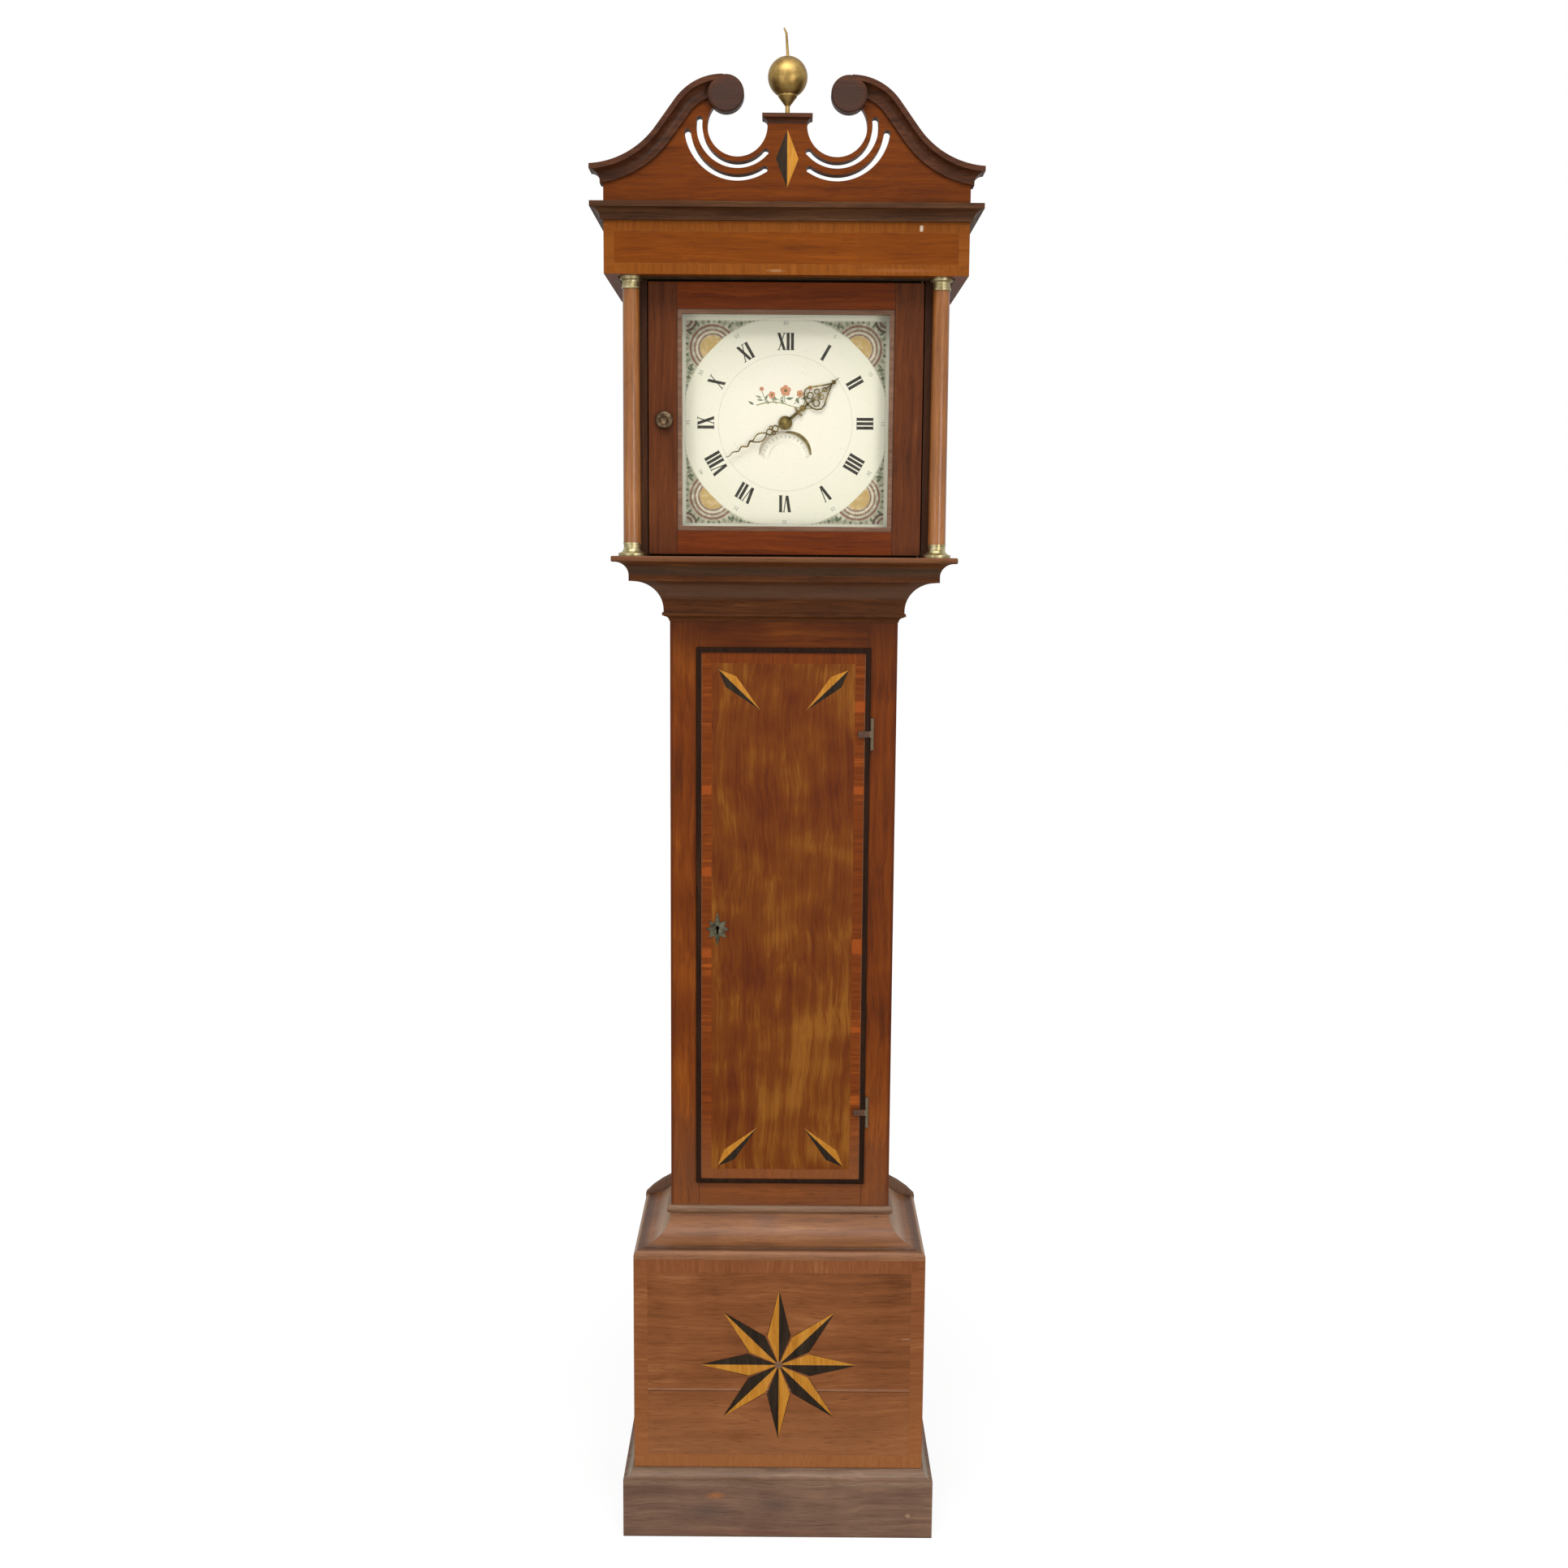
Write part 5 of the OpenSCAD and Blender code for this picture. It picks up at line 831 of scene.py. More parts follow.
def placed(outline, angle, x=0, z=0):
    # turned clockwise by angle, then moved
    c, s = cos(radians(angle)), sin(radians(angle))
    return [(x + px * c + pz * s, z - px * s + pz * c) for px, pz in outline]


def turnedAll(outlines, angle, x=0, z=0):
    return [placed(outline, angle, x, z) for outline in outlines]


def mirroredX(outline):
    return [(-x, z) for x, z in outline]


# inlay: each figure has a light half and a dark half, let into the wood

inlay = {"sunk": 0.1, "bossProud": 0.06, "bossThick": 0.5}  # mm


def inlayPair(node, name, lightOutlines, darkOutlines, body):
    low, high = boxMm(node)
    for tone, wood, outlines in (("Light", "boxwood", lightOutlines), ("Dark", "bogOak", darkOutlines)):
        piece = flatPiece(outlines, low[1], high[1] - low[1] - inlay["sunk"])
        settle(piece, name + tone, body, woods[wood])
        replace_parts(piece, node)


star = {"points": 8, "middle": 6, "root": 2.15, "waist": 44, "halfWaist": 16.5, "reach": 115,
        "bossRadius": 5.5}
starLow, starHigh = boxMm("base_star")
starZ = (starLow[2] + starHigh[2]) / 2
starHalf = [(0, star["middle"]), (star["root"], star["middle"]), (star["halfWaist"], star["waist"]),
            (0, star["reach"])]
starTurns = [360 / star["points"] * i for i in range(star["points"])]
inlayPair("base_star", "starInlay",
          [placed(mirroredX(starHalf), turn, 0, starZ) for turn in starTurns],
          [placed(starHalf, turn, 0, starZ) for turn in starTurns], "case")

boss = flatPiece([arc(0, starZ, star["bossRadius"])], starLow[1] - inlay["bossProud"], inlay["bossThick"])
settle(boss, "starMiddle", "case", woods["nosingOak"])

kite = {"length": 83, "widest": 0.3, "half": 10.5, "x": 92}
kiteHalf = [(0, 0), (kite["half"], kite["length"] * kite["widest"]), (0, kite["length"])]
kiteCorners = [
    # side, start height, clockwise angle of its long way, light on the clockwise side
    (-1, 1274, 134, False),
    (1, 1274, 226, True),
    (-1, 545, 44.5, False),
    (1, 545, -44.5, True),
]
kiteLight, kiteDark = [], []
for side, height, angle, lightClockwise in kiteCorners:
    clockwise = placed(kiteHalf, angle, side * kite["x"], height)
    other = placed(mirroredX(kiteHalf), angle, side * kite["x"], height)
    kiteLight.append(clockwise if lightClockwise else other)
    kiteDark.append(other if lightClockwise else clockwise)
inlayPair("trunk_door_kites", "kiteInlay", kiteLight, kiteDark, "trunk_door")

diamondLow, diamondHigh = boxMm("pediment_diamond")
diamondMid = (diamondHigh[2] + diamondLow[2]) / 2
diamondHalf = [(0, diamondLow[2]), (diamondHigh[0], diamondMid), (0, diamondHigh[2])]
inlayPair("pediment_diamond", "diamondInlay", [diamondHalf], [mirroredX(diamondHalf)], "hood")
print("inlay ready")


# paint on the dial

# clouds and flecks are counted to the metre, so they are 6 mm and 1.1 mm wide
paintLook = {"clouds": 160, "flecks": 900, "rough": 0.42, "shine": 0.2}


def paintMaterial(name, colour, worn, share=0.25):
    # hand-laid paint: the tone varies a little and thins out in specks
    material, tree, place = newMaterial(name)
    cloud = addNode(tree, "TexNoise", {"Vector": place, "Scale": paintLook["clouds"], "Detail": 4})
    fleck = addNode(tree, "TexNoise", {"Vector": place, "Scale": paintLook["flecks"], "Detail": 2})
    thin = addNode(tree, "Math", {0: fleck, 1: 0.5, 2: cloud}, operation="MULTIPLY_ADD")
    thin = addNode(tree, "MapRange", {"Value": thin, "From Min": 0.7, "From Max": 0.95, "To Max": share})
    mixed = addNode(tree, "Mix", {"Factor": thin, "A": colour, "B": worn}, data_type="RGBA")
    finishMaterial(tree, addNode(tree, "BsdfPrincipled", {
        "Base Color": mixed, "Roughness": paintLook["rough"], "Specular IOR Level": paintLook["shine"],
    }))
    return material


# Dial ground: cream oil paint on iron, yellowed, greener to the rim, hair cracks and a few specks
dialLow, dialHigh = boxMm("dial_plate")
dialZ = (dialLow[2] + dialHigh[2]) / 2
dialFront = dialLow[1]
ground = {
    # mm: clouds, specks, cracked fields, and where the rim's tone begins and ends
    "cloud": 60, "speck": 2, "crack": 9, "rim": (90, 190),
    "middle": "#f3eeda", "outer": "#ebe9d0", "speckTint": "#a89c7c", "crackTint": "#9c9274",
    "speckShare": 0.5, "crackShare": 0.16, "rough": 0.45, "bump": 0.1, "bumpDepth": 0.2,
}
dialCream, tree, place = newMaterial("cream dial paint")
inMm = addNode(tree, "VectorMath", {0: place, "Scale": 1000}, operation="SCALE")
away = addNode(tree, "VectorMath", {0: inMm, 1: (0, dialFront, dialZ)}, operation="DISTANCE").outputs["Value"]
cloud = addNode(tree, "TexNoise", {"Vector": inMm, "Scale": 1 / ground["cloud"], "Detail": 4})
away = addNode(tree, "Math", {0: cloud, 1: ground["cloud"], 2: away}, operation="MULTIPLY_ADD")
away = addNode(tree, "MapRange", {"Value": away, "From Min": ground["rim"][0], "From Max": ground["rim"][1]})
speck = addNode(tree, "TexNoise", {"Vector": inMm, "Scale": 1 / ground["speck"], "Detail": 2})
speck = addNode(tree, "MapRange", {"Value": speck, "From Min": 0.69, "From Max": 0.76,
                                   "To Max": ground["speckShare"]})
crack = addNode(tree, "TexVoronoi", {"Vector": inMm, "Scale": 1 / ground["crack"]},
                feature="DISTANCE_TO_EDGE")
crack = addNode(tree, "MapRange", {"Value": crack.outputs["Distance"], "From Min": 0.012, "From Max": 0,
                                   "To Max": ground["crackShare"]})
colour = ground["middle"]
for share, tint in ((away, "outer"), (speck, "speckTint"), (crack, "crackTint")):
    colour = addNode(tree, "Mix", {"Factor": share, "A": colour, "B": ground[tint]}, data_type="RGBA")
bump = addNode(tree, "Bump", {"Strength": ground["bump"], "Distance": ground["bumpDepth"] * mm,
                              "Height": cloud})
finishMaterial(tree, addNode(tree, "BsdfPrincipled", {
    "Base Color": colour, "Roughness": ground["rough"], "Normal": bump,
}))

paints = {
    "black": paintMaterial("black numeral paint", "#35322a", "#6b6a5c"),
    "hairline": paintMaterial("thin grey paint lines", "#c2c2b0", "#dedcc8", 0.6),
    "smallNumber": paintMaterial("faded grey number paint", "#8f9184", "#cfcdb9", 0.6),
    "gold": paintMaterial("gold corner paint", "#c2a468", "#dcc898", 0.7),
    "umber": paintMaterial("pinkish brown corner paint", "#8a6656", "#b8a08a", 0.6),
    "darkUmber": paintMaterial("dark brown corner paint", "#6a564a", "#94826e", 0.5),
    "corner": paintMaterial("mottled grey green corner ground", "#b2ae92", "#e0dcc4", 0.95),
    "bead": paintMaterial("pale bead paint", "#e2d6bc", "#c9b896"),
    "leaf": paintMaterial("grey green leaf paint", "#8c9476", "#bcbe9e", 0.6),
    "darkLeaf": paintMaterial("dark green leaf paint", "#68725a", "#949a7a", 0.5),
    "stem": paintMaterial("olive stem paint", "#8b8840", "#b8b478", 0.5),
    "blossom": paintMaterial("salmon blossom paint", "#c98d68", "#e0b596", 0.6),
    "brownGold": paintMaterial("brown gold edging paint", "#6e5f34", "#a08f5a", 0.5),
    "fadedEdge": paintMaterial("pale pinkish edging paint, painted light", "#bdb09a", "#d9d2bc", 0.6),
}
for name in ("dial_plate", "date_disc"):
    dress(nodes[name], dialCream)

coat = {"thick": 0.03, "gap": 0.002}  # mm


def paintPiece(name, outlines, paint, layer):
    # layer is the paint's height above the ground in coats, so that no two coats share a face
    high = coat["thick"] * layer
    piece = flatPiece(outlines, dialFront - high, high - coat["gap"])
    settle(piece, name, "case", paints[paint])
    return piece


# mm, but for vSerifShare, the length of the serif on a V's thin stroke as a share of the others' length;
# vHair is how far that stroke is moved out at its top and its foot
numeral = {"radius": 110, "height": 22.5, "bar": 4.1, "hair": 1.3, "pitch": 5.9, "vWidth": 11.5, "xWidth": 12,
           "serif": 0.7, "serifGap": 0.3, "inset": 2.2, "vHair": (0.6, 1), "vSerifShare": 0.8}
half = numeral["height"] / 2


def slanted(topX, footX, width):
    # one stroke of a letter, from the top line to the foot line
    return [(topX - width / 2, half), (topX + width / 2, half),
            (footX + width / 2, -half), (footX - width / 2, -half)]


def romanStrokes(letters):
    widths = {"I": numeral["pitch"], "V": numeral["vWidth"], "X": numeral["xWidth"]}
    inset, gap = numeral["inset"], numeral["serifGap"]
    left = -sum(widths[letter] for letter in letters) / 2
    bars, hairs, serifs = [], [], []
    for letter in letters:
        right = left + widths[letter]
        middle = (left + right) / 2
        if letter == "I":
            bars.append(slanted(middle, middle, numeral["bar"]))
            spans = [(left + gap, right - gap, half), (left + gap, right - gap, -half)]
        if letter == "V":
            bars.append(slanted(left + inset, middle, numeral["bar"]))
            outTop, outFoot = numeral["vHair"]
            hairs.append(slanted(right - inset + outTop, middle + outFoot, numeral["hair"]))
            short = 2 * inset * numeral["vSerifShare"]
            spans = [(left, left + 2 * inset, half), (right - short, right, half)]
        if letter == "X":
            bars.append(slanted(left + inset, right - inset, numeral["bar"]))
            hairs.append(slanted(right - inset, left + inset, numeral["hair"]))
            spans = [(left, left + 2 * inset, half), (right - 2 * inset, right, half),
                     (left, left + 2 * inset, -half), (right - 2 * inset, right, -half)]
        for start, end, level in spans:
            foot, top = level - numeral["serif"] / 2, level + numeral["serif"] / 2
            serifs.append([(start, foot), (end, foot), (end, top), (start, top)])
        left = right
    return bars, hairs, serifs


romans = ["XII", "I", "II", "III", "IIII", "V", "VI", "VII", "VIII", "IX", "X", "XI"]
coats = ([], [], [])
for hour, letters in enumerate(romans):
    angle = hour * 30
    x, z = numeral["radius"] * sin(radians(angle)), dialZ + numeral["radius"] * cos(radians(angle))
    for strokes, drawn in zip(coats, romanStrokes(letters)):
        strokes.extend(turnedAll(drawn, angle, x, z))
for name, outlines, layer in zip(("numeralBars", "numeralHairs", "numeralSerifs"), coats, (3, 2, 1)):
    paintPiece(name, outlines, "black", layer)
dialLines = {"chapterLine": (92.9, 92.4), "minuteLine": (142.4, 142)}  # outer and inner radius
for name, (outer, inner) in dialLines.items():
    paintPiece(name, ring(0, dialZ, outer, inner, 128), "hairline", 1)


def numberRing(name, labels, size, radius, centreZ, body, front, firstAngle=0):
    # small numbers set round a circle, one coat high, their feet to the middle
    made = []
    for i, label in enumerate(labels):
        text = bpy.data.curves.new("number", "FONT")
        text.body = label
        text.size = size * mm
        text.align_x = "CENTER"
        text.align_y = "CENTER"
        text.extrude = coat["thick"] / 2 * mm
        piece = linked("number", text)
        angle = radians(firstAngle + i * 360 / len(labels))
        upright = Matrix.Rotation(radians(90), 3, "X")
        piece.rotation_euler = (Matrix.Rotation(angle, 3, "Y") @ upright).to_euler()
        piece.location = (radius * mm * sin(angle), (front - coat["thick"] / 2) * mm,
                          (centreZ + radius * cos(angle)) * mm)
        made.append(meshed(piece))
    piece = settle(joinAll(made), name, body, paints["smallNumber"])
    return piece


minutes = {"labels": ["60"] + [str(5 * i) for i in range(1, 12)], "size": 7.2, "numbers": 134.5}
numberRing("minuteNumbers", minutes["labels"], minutes["size"], minutes["numbers"], dialZ, "case", dialFront)

date = {"ring": 28, "slot": 13, "halfAngle": 76, "size": 5.4, "numbers": 30, "shown": -46}
dateLow, dateHigh = boxMm("date_disc")
dateZ = (dateLow[2] + dateHigh[2]) / 2
numberRing("dateNumbers", [str(i) for i in range(1, 32)], date["size"], date["numbers"], dateZ,
           "date_disc", dateLow[1], date["shown"])

# corner fans: a gold half-round, beaded bands and leaves, with the dial's circle cut out of them
fan = {
    "square": 137, "circle": 143, "centre": 142, "gold": 17.4, "bands": ((18, 19.8), (23.6, 25.8), (29, 32)),
    "beads": 21.7, "beadRadius": 1.3, "leafRing": 34, "leafLength": 8, "leafWide": 4.2, "coatStep": 0.4,
    "quarters": {15: "darkUmber", 9: "umber"}, "quarterWide": 3.2,
    "edgeLeaves": 7, "edgeStart": 72, "edgeStep": 5.6, "edgeLeafLength": 5.2,
}
square = fan["square"]
fanMiddle = fan["centre"] / sqrt(2)


def fanArc(radius, steps=24):
    # the stretch of a fan's circle that lies outside the dial's circle, in the top right corner
    cosine = (fan["circle"] ** 2 - radius ** 2 - fan["centre"] ** 2) / (2 * radius * fan["centre"])
    spread = degrees(acos(cosine))
    return arc(fanMiddle, fanMiddle, radius, 45 - spread, 45 + spread, steps)


alongArc = degrees(acos(square / fan["circle"]))
cornerGround = arc(0, 0, fan["circle"], alongArc, 90 - alongArc, 40) + [(square, square)]
cornerWork = {"corner": [cornerGround], "gold": [fanArc(fan["gold"])], "umber": [], "bead": [], "leaf": [],
              "darkLeaf": [], "darkUmber": []}
for inner, outer in fan["bands"]:
    cornerWork["umber"].append(fanArc(outer) + fanArc(inner)[::-1])
cornerWork["bead"].extend(arc(x, z, fan["beadRadius"], steps=10) for x, z in fanArc(fan["beads"], 20)[1:-1])
for i, (x, z) in enumerate(fanArc(fan["leafRing"], 16)[1:-1]):
    out = degrees(atan2(x - fanMiddle, z - fanMiddle))
    reach = min(fan["leafLength"], (square - max(x, z)) * 1.2)
    if reach > 2:
        leaf = leafShape(reach * 0.5, reach, fan["leafWide"], 0.12)
        cornerWork["leaf" if i % 2 else "darkLeaf"].append(placed(leaf, out, x, z))
for radius, paint in fan["quarters"].items():
    cornerWork[paint].append(arc(square, square, radius, 180, 270, 12)
                             + arc(square, square, radius - fan["quarterWide"], 270, 180, 12))
for i in range(fan["edgeLeaves"]):
    # leaves that shrink along the edges towards the middle of each side
    t = fan["edgeStart"] - fan["edgeStep"] * i
    edge = sqrt(fan["circle"] ** 2 - t ** 2)
    wide = square - edge
    leaf = leafShape(fan["edgeLeafLength"] / 2, fan["edgeLeafLength"], wide * 0.8, 0.1)
    cornerWork["leaf" if i % 2 else "darkLeaf"].append(placed(leaf, -78, t + 3, edge + wide / 2))
    cornerWork["leaf" if i % 2 else "darkLeaf"].append(placed(leaf, 168, edge + wide / 2, t + 3))
for i, (paint, outlines) in enumerate(cornerWork.items()):
    everyCorner = [placed(outline, 90 * turn, 0, dialZ) for turn in range(4) for outline in outlines]
    paintPiece("corner" + paint[0].upper() + paint[1:], everyCorner, paint, 1 + fan["coatStep"] * i)
frameLine = [(x * (square + 1), z * (square + 1)) for x, z in ((-1, -1), (1, -1), (1, 1), (-1, 1))]
innerLine = [(x * 0.996, z * 0.996) for x, z in frameLine]
paintPiece("cornerFrameLine", turnedAll([frameLine, innerLine], 0, 0, dialZ), "hairline", 1)

# a loose spray of blossoms over the hands' middle
spray = {"above": 36, "leaves": 18, "leafLength": 8.5, "leafWide": 3.4, "petals": 5,
         "blossoms": [(0, 8, 8), (-19, 2, 5.4), (20, 4, 5.4), (-33, 10, 3.4), (34, 12, 3.4)]}  # x, z, radius
sprayZ = dialZ + spray["above"]
stemPath = [(-40 + 8 * i, sprayZ - 12 + 4.5 * sin(0.55 * i)) for i in range(11)]
twigPaths = [
    [(0, sprayZ - 10), (-2, sprayZ - 3), (0, sprayZ + 4)],
    [(-12, sprayZ - 10), (-18, sprayZ - 5), (-19, sprayZ + 1)],
    [(12, sprayZ - 10), (18, sprayZ - 4), (20, sprayZ + 3)],
    [(-22, sprayZ - 9), (-30, sprayZ), (-33, sprayZ + 9)],
    [(24, sprayZ - 12), (31, sprayZ), (34, sprayZ + 10)],
]
paintPiece("sprayStems", [ribbon(stemPath, lambda t: 1.5 - 0.7 * t)], "stem", 1)
paintPiece("sprayTwigs", [ribbon(path, lambda t: 0.9) for path in twigPaths], "darkLeaf", 1.3)
leaves = {"leaf": [], "darkLeaf": []}
sprayLeaf = leafShape(3.5, spray["leafLength"], spray["leafWide"], 0.1, 0.85, 0.95)
for i in range(spray["leaves"]):
    angle = 35 * sin(1.7 * i) + (60 if i % 2 else -60)
    leaf = placed(sprayLeaf, angle, -44 + 5.2 * i, sprayZ - 11 + 9 * abs(sin(0.8 * i)))
    leaves["leaf" if i % 3 else "darkLeaf"].append(leaf)
paintPiece("sprayLeaves", leaves["leaf"], "leaf", 1.6)
paintPiece("sprayDarkLeaves", leaves["darkLeaf"], "darkLeaf", 1.9)
petals, hearts = [], []
for x, z, radius in spray["blossoms"]:
    for i in range(spray["petals"]):
        angle = radians(360 / spray["petals"] * i + x)
        petals.append(arc(x + radius * 0.5 * sin(angle), sprayZ + z + radius * 0.5 * cos(angle),
                          radius * 0.46, steps=14))
    hearts.append(arc(x, sprayZ + z, radius * 0.26, steps=12))
for i in range(spray["petals"]):
    paintPiece("sprayPetals" + str(i), petals[i::spray["petals"]], "blossom", 2.2 + 0.2 * i)
paintPiece("sprayHearts", hearts, "brownGold", 3.4)

# edging of the date opening, widest in its middle, painted on the dial: its dark brown gold right half is
# painted shade and its pale left half painted light, as on a bevelled opening's two sides
slotOut = date["ring"] + date["slot"] / 2
for name, paint, way in (("dateEdgeRight", "brownGold", -1), ("dateEdgeLeft", "fadedEdge", 1)):
    end = 90 + way * (date["halfAngle"] + 6)
    crescent = arc(0, dateZ, slotOut + 0.2, 90, end, 24)
    for i in range(25):
        t = i / 24
        angle = radians(end + (90 - end) * t)
        radius = slotOut + 0.5 + 4.6 * sin(pi * (0.12 + 0.76 * t))
        crescent.append((radius * cos(angle), dateZ + radius * sin(angle)))
    paintPiece(name, [crescent], paint, 2)
print("dial paint ready")


# hands: stamped and pierced, drawn pointing up and then turned to twenty to two

def handPiece(name, body, parts, angle, front):
    # each part: outlines, how far its front stands, how thick it is
    made = [flatPiece(turnedAll(outlines, angle, 0, dialZ), front + stand, deep)
            for outlines, stand, deep in parts]
    piece = settle(joinAll(made), name, body, metals["handBrass"])
    return piece


def crossing(low, high, wide, loops, offset=0, steps=16):
    # one of the two waves that cross and part again
    return [(wide * sin(pi * loops * i / steps + offset), low + (high - low) * i / steps)
            for i in range(steps + 1)]


def ringPair(x, z, outer, inner, steps=24):
    return ring(-x, z, outer, inner, steps) + ring(x, z, outer, inner, steps)


minuteBlade = [(2.3 * sin(2 * pi * i / 13) * (1 - i / 60), 51 + i * 1.1) for i in range(41)]
minuteFront = boxMm("minute_hand")[0][1] + 2
minuteParts = [
    (ring(0, 0, 7, 2.1), 0, 1),
    (ring(0, 0, 5, 2.1), -2, 1.9),
    ([ribbon([(0, 5), (0, 9), (0, 13)], lambda t: 4.2 - 1.6 * t)], 0.05, 0.9),
    ([ribbon(crossing(11, 30, 4.2, 2), lambda t: 1.9)], 0.1, 0.8),
    ([ribbon(crossing(11, 30, 4.2, 2, pi), lambda t: 1.9)], 0.15, 0.7),
    ([ribbon(crossing(29, 52, 5.4, 1, steps=20), lambda t: 1.7)], 0.1, 0.8),
    ([ribbon(crossing(29, 52, 5.4, 1, pi, steps=20), lambda t: 1.7)], 0.15, 0.7),
    (ringPair(4.4, 20.5, 2.6, 1.2, 20), 0.2, 0.6),
    ([ribbon(minuteBlade, lambda t: 2.7 - 1.9 * t)], 0.05, 0.9),
]
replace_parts(handPiece("minuteHand", "centre", minuteParts, 240, minuteFront), "minute_hand")

fanSide = [(0, 40), (7, 41), (13.5, 44.5), (17, 50), (15.8, 57), (11, 64), (5.5, 73), (0, 84)]
hourFront, hourBack = [corner[1] for corner in boxMm("hour_hand")]
hourParts = [
    (ring(0, 0, 9.6, 3.6), 0, 1),
    (ring(0, 0, 6, 3.6), 0.5, hourBack - hourFront - 0.5),
    ([ribbon([(0, 8), (0, 20), (0, 42)], lambda t: 4.6 - 1.6 * t)], 0.05, 0.9),
    ([ribbon([(-7.5, 24), (0, 22.4), (7.5, 24)], lambda t: 2 + 1.4 * sin(pi * t))], 0.1, 0.8),
    (ring(0, 31.5, 4.4, 2.2, 24), 0.15, 0.7),
    ([ribbon(fanSide, lambda t: 2.0)], 0.05, 0.9),
    ([ribbon(mirroredX(fanSide), lambda t: 2.0)], 0.1, 0.8),
    ([ribbon([(0, 41), (0, 60), (0, 84)], lambda t: 1.5)], 0.15, 0.7),
    (ringPair(6.6, 50, 5.2, 3.5), 0.2, 0.6),
    (ringPair(4.7, 60.5, 4.1, 2.6), 0.25, 0.5),
    (ring(0, 70.5, 3.4, 1.9, 24), 0.3, 0.4),
    ([[(0, 82), (3.4, 86.5), (0, 91), (-3.4, 86.5)]], 0, 1),
    ([ribbon([(0, 89), (0, 93), (0, 96)], lambda t: 1.7 - 1.2 * t)], 0.1, 0.8),
]
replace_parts(handPiece("hourHand", "hour", hourParts, 50, hourFront), "hour_hand")

# the hour wheel on the hand's pipe, crossed out to four arms, as in the CAD node
# mm and degrees, but for tip and root, which are in modules; the module comes from this wheel's 72 teeth and
# the 6 of its pinion, with their middles 32 mm apart
hourWheel = {"teeth": 72, "module": 2 * 32 / (72 + 6), "rim": 3, "hub": 9, "arm": 4, "thick": 2,
             "phase": -39.125, "tip": 0.65, "root": 1.05, "behind": 4, "hole": 6}
pitchRadius = hourWheel["teeth"] * hourWheel["module"] / 2
toothTip = pitchRadius + hourWheel["tip"] * hourWheel["module"]
toothRoot = pitchRadius - hourWheel["root"] * hourWheel["module"]
toothedEdge = []
for i in range(hourWheel["teeth"]):
    for step, radius in ((-0.62, toothRoot), (-0.26, toothTip), (0.26, toothTip), (0.62, toothRoot)):
        a = radians((i + step * 0.42) * 360 / hourWheel["teeth"])
        toothedEdge.append((radius * cos(a), radius * sin(a)))
opening = toothRoot - hourWheel["rim"]
rimGap, hubGap = [degrees(asin(hourWheel["arm"] / 2 / radius)) for radius in (opening, hourWheel["hub"])]
crossings = [arc(0, 0, opening, 90 * i + rimGap, 90 * i + 90 - rimGap, 16)
             + arc(0, 0, hourWheel["hub"], 90 * i + 90 - hubGap, 90 * i + hubGap, 8) for i in range(4)]
wheelOutlines = [toothedEdge, arc(0, 0, hourWheel["hole"])] + crossings
wheelOutlines = turnedAll(wheelOutlines, -hourWheel["phase"], 0, dialZ)
wheel = flatPiece(wheelOutlines, hourBack - hourWheel["behind"], hourWheel["thick"])
settle(wheel, "hourWheel", "hour", metals["wheelBrass"])
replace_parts(wheel, "hour_hand")
print("hands ready")


# rope: three strands laid round each other along a path; sizes in mm

ropeSizes = {"radius": 3, "lay": 20, "strands": 3, "strandRadius": 0.49, "strandOut": 0.51, "step": 2,
             "sprocket": 22, "counterLoop": 20, "lift": 0.5, "blendOver": 4}


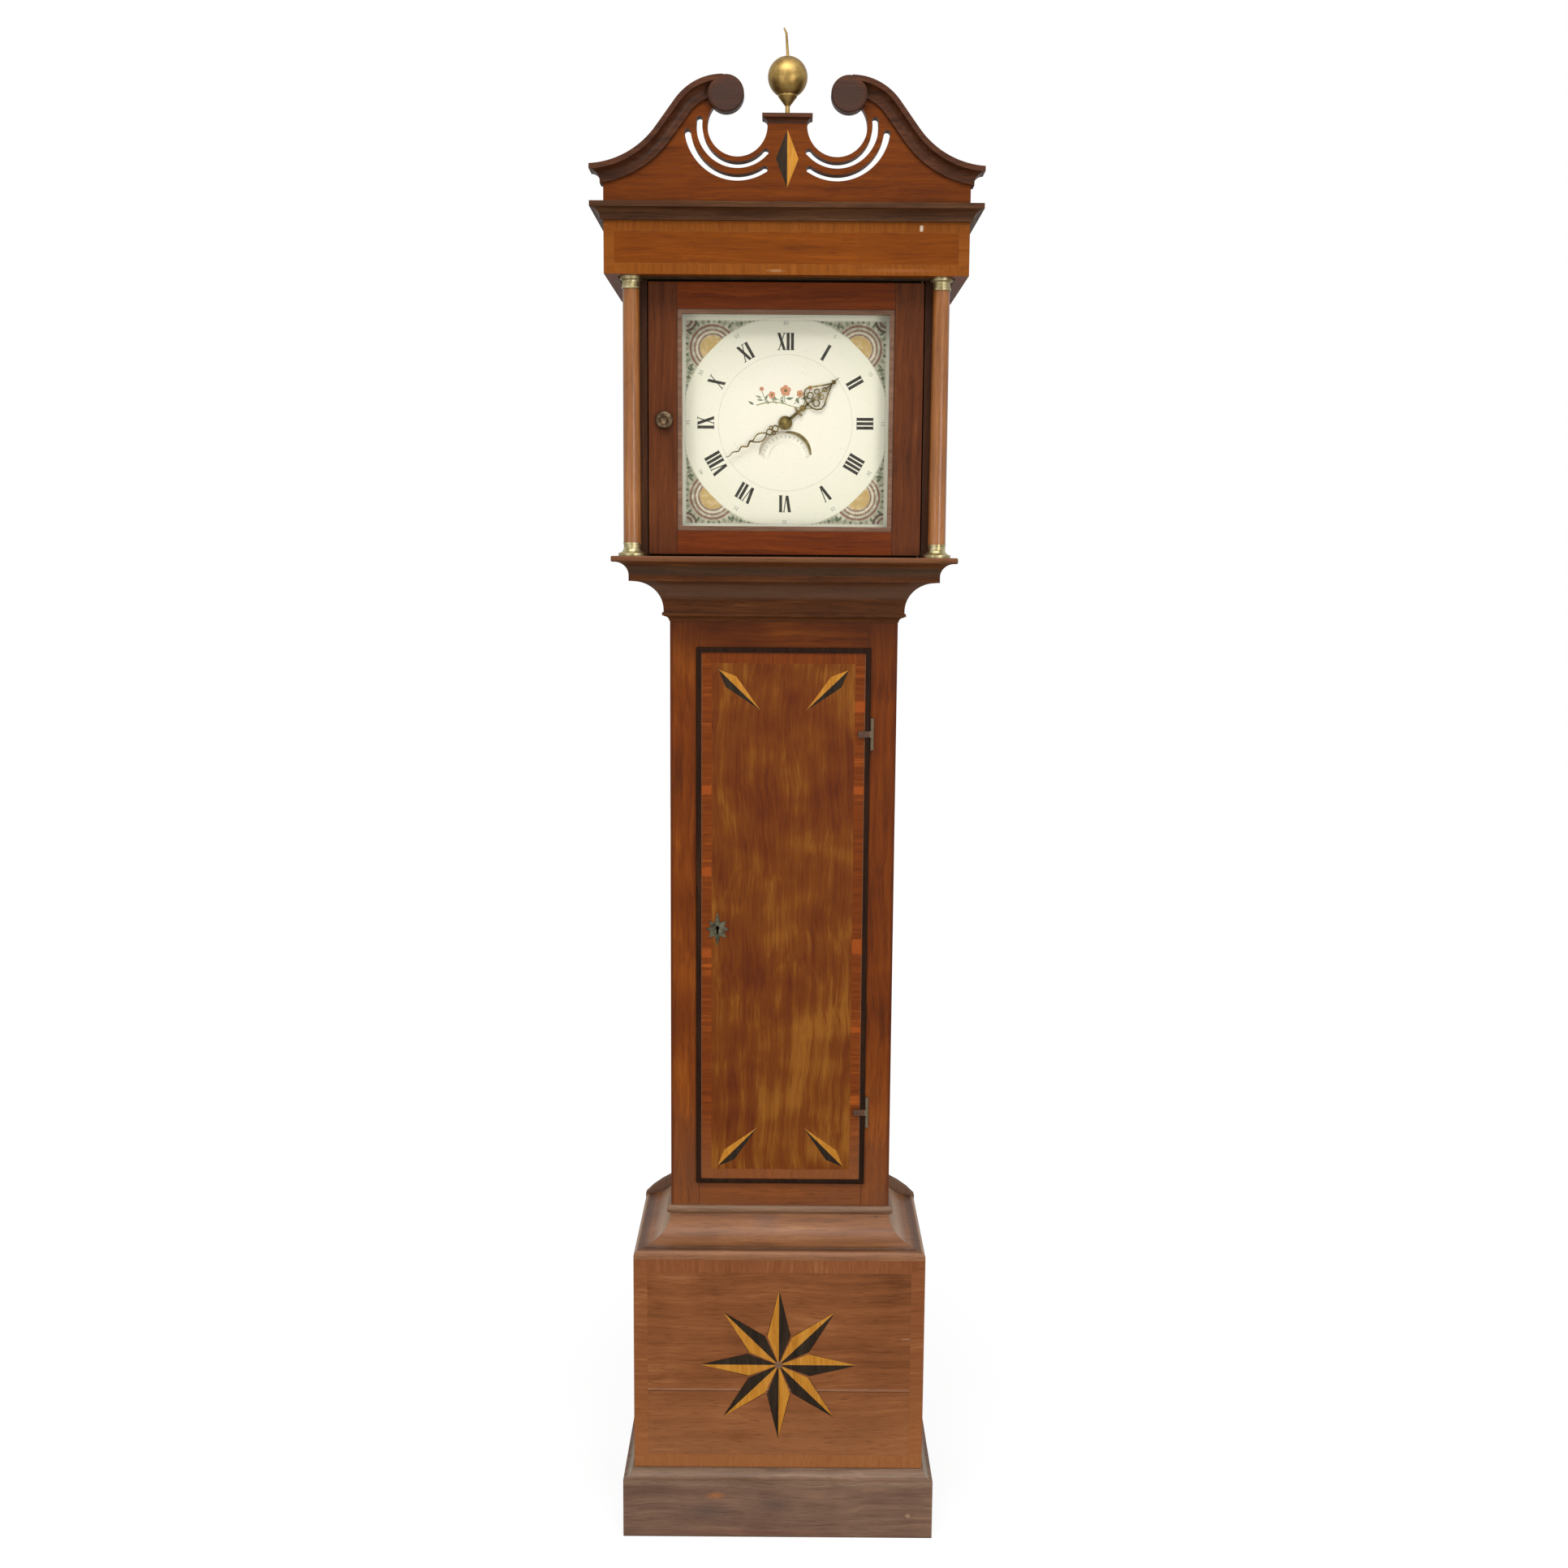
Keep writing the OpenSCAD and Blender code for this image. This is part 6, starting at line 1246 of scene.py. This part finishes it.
def ropePiece(name, path):
    # the path lies in or near an upright plane across the clock
    points = [Vector(p) for p in path]
    radius = ropeSizes["radius"]
    curve = bpy.data.curves.new(name, "CURVE")
    curve.dimensions = "3D"
    curve.bevel_depth = radius * ropeSizes["strandRadius"] * mm
    curve.bevel_resolution = 1
    curve.use_fill_caps = True
    for strand in range(ropeSizes["strands"]):
        travelled = 0
        spline = curve.splines.new("POLY")
        spline.points.add(len(points) - 1)
        for i, point in enumerate(points):
            along = (points[min(i + 1, len(points) - 1)] - points[max(i - 1, 0)]).normalized()
            if i:
                travelled += (point - points[i - 1]).length
            outward = (Vector((0, 1, 0)) - along * along.y).normalized()
            sideways = along.cross(outward)
            turn = 2 * pi * (travelled / ropeSizes["lay"] + strand / ropeSizes["strands"])
            aside = outward * cos(turn) + sideways * sin(turn)
            spline.points[i].co = (*((point + radius * ropeSizes["strandOut"] * aside) * mm), 1)
    piece = meshed(linked(name, curve))
    bpy.ops.object.shade_smooth_by_angle(angle=radians(50))
    piece.name = name
    dress(piece, hemp)
    deselectAll()
    return piece


def straight(start, end):
    run = Vector(end) - Vector(start)
    count = max(1, int(run.length / ropeSizes["step"]))
    return [tuple(Vector(start) + run * i / count) for i in range(count + 1)]


def loopRope(name, node, topX, loopX, loopY, loopZ):
    # down on the left, under the pulley and up on the right
    under = [(loopX * cos(radians(180 + 5 * i)), loopY, loopZ + loopX * sin(radians(180 + 5 * i)))
             for i in range(37)]
    down = straight((-topX, ropeY, ropeTop), under[0])
    up = straight(under[-1], (topX, ropeY, ropeTop))
    piece = ropePiece(name, down[:-1] + under + up[1:])
    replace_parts(piece, node)
    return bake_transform(piece)


ropeLow, ropeHigh = boxMm("weight_rope")
counterLow = boxMm("counter_rope")[0]
ropeY, ropeTop = (ropeLow[1] + ropeHigh[1]) / 2, ropeHigh[2]
weightLoop = ropeHigh[0] - ropeSizes["radius"]
weightZ = ropeLow[2] + weightLoop + ropeSizes["radius"]
counterY = counterLow[1] + ropeSizes["radius"]
counterZ = counterLow[2] + ropeSizes["counterLoop"] + ropeSizes["radius"]
sprocketX = weightLoop + ropeSizes["sprocket"]
outerX = sprocketX + ropeSizes["sprocket"]
loopRope("weightRope", "weight_rope", weightLoop, weightLoop, ropeY, weightZ)
loopRope("counterRope", "counter_rope", outerX, ropeSizes["counterLoop"], counterY, counterZ)
overSprockets = []
for side in (-1, 1):
    over = arc(side * sprocketX, ropeTop + ropeSizes["lift"], ropeSizes["sprocket"], 180, 0, 36)
    overSprockets.append(ropePiece("over", [(x, ropeY, z) for x, z in over]))
overRope = settle(joinAll(overSprockets), "ropeOverSprockets", "case", hemp)
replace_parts(overRope, "rope_over_sprockets")
print("ropes ready")
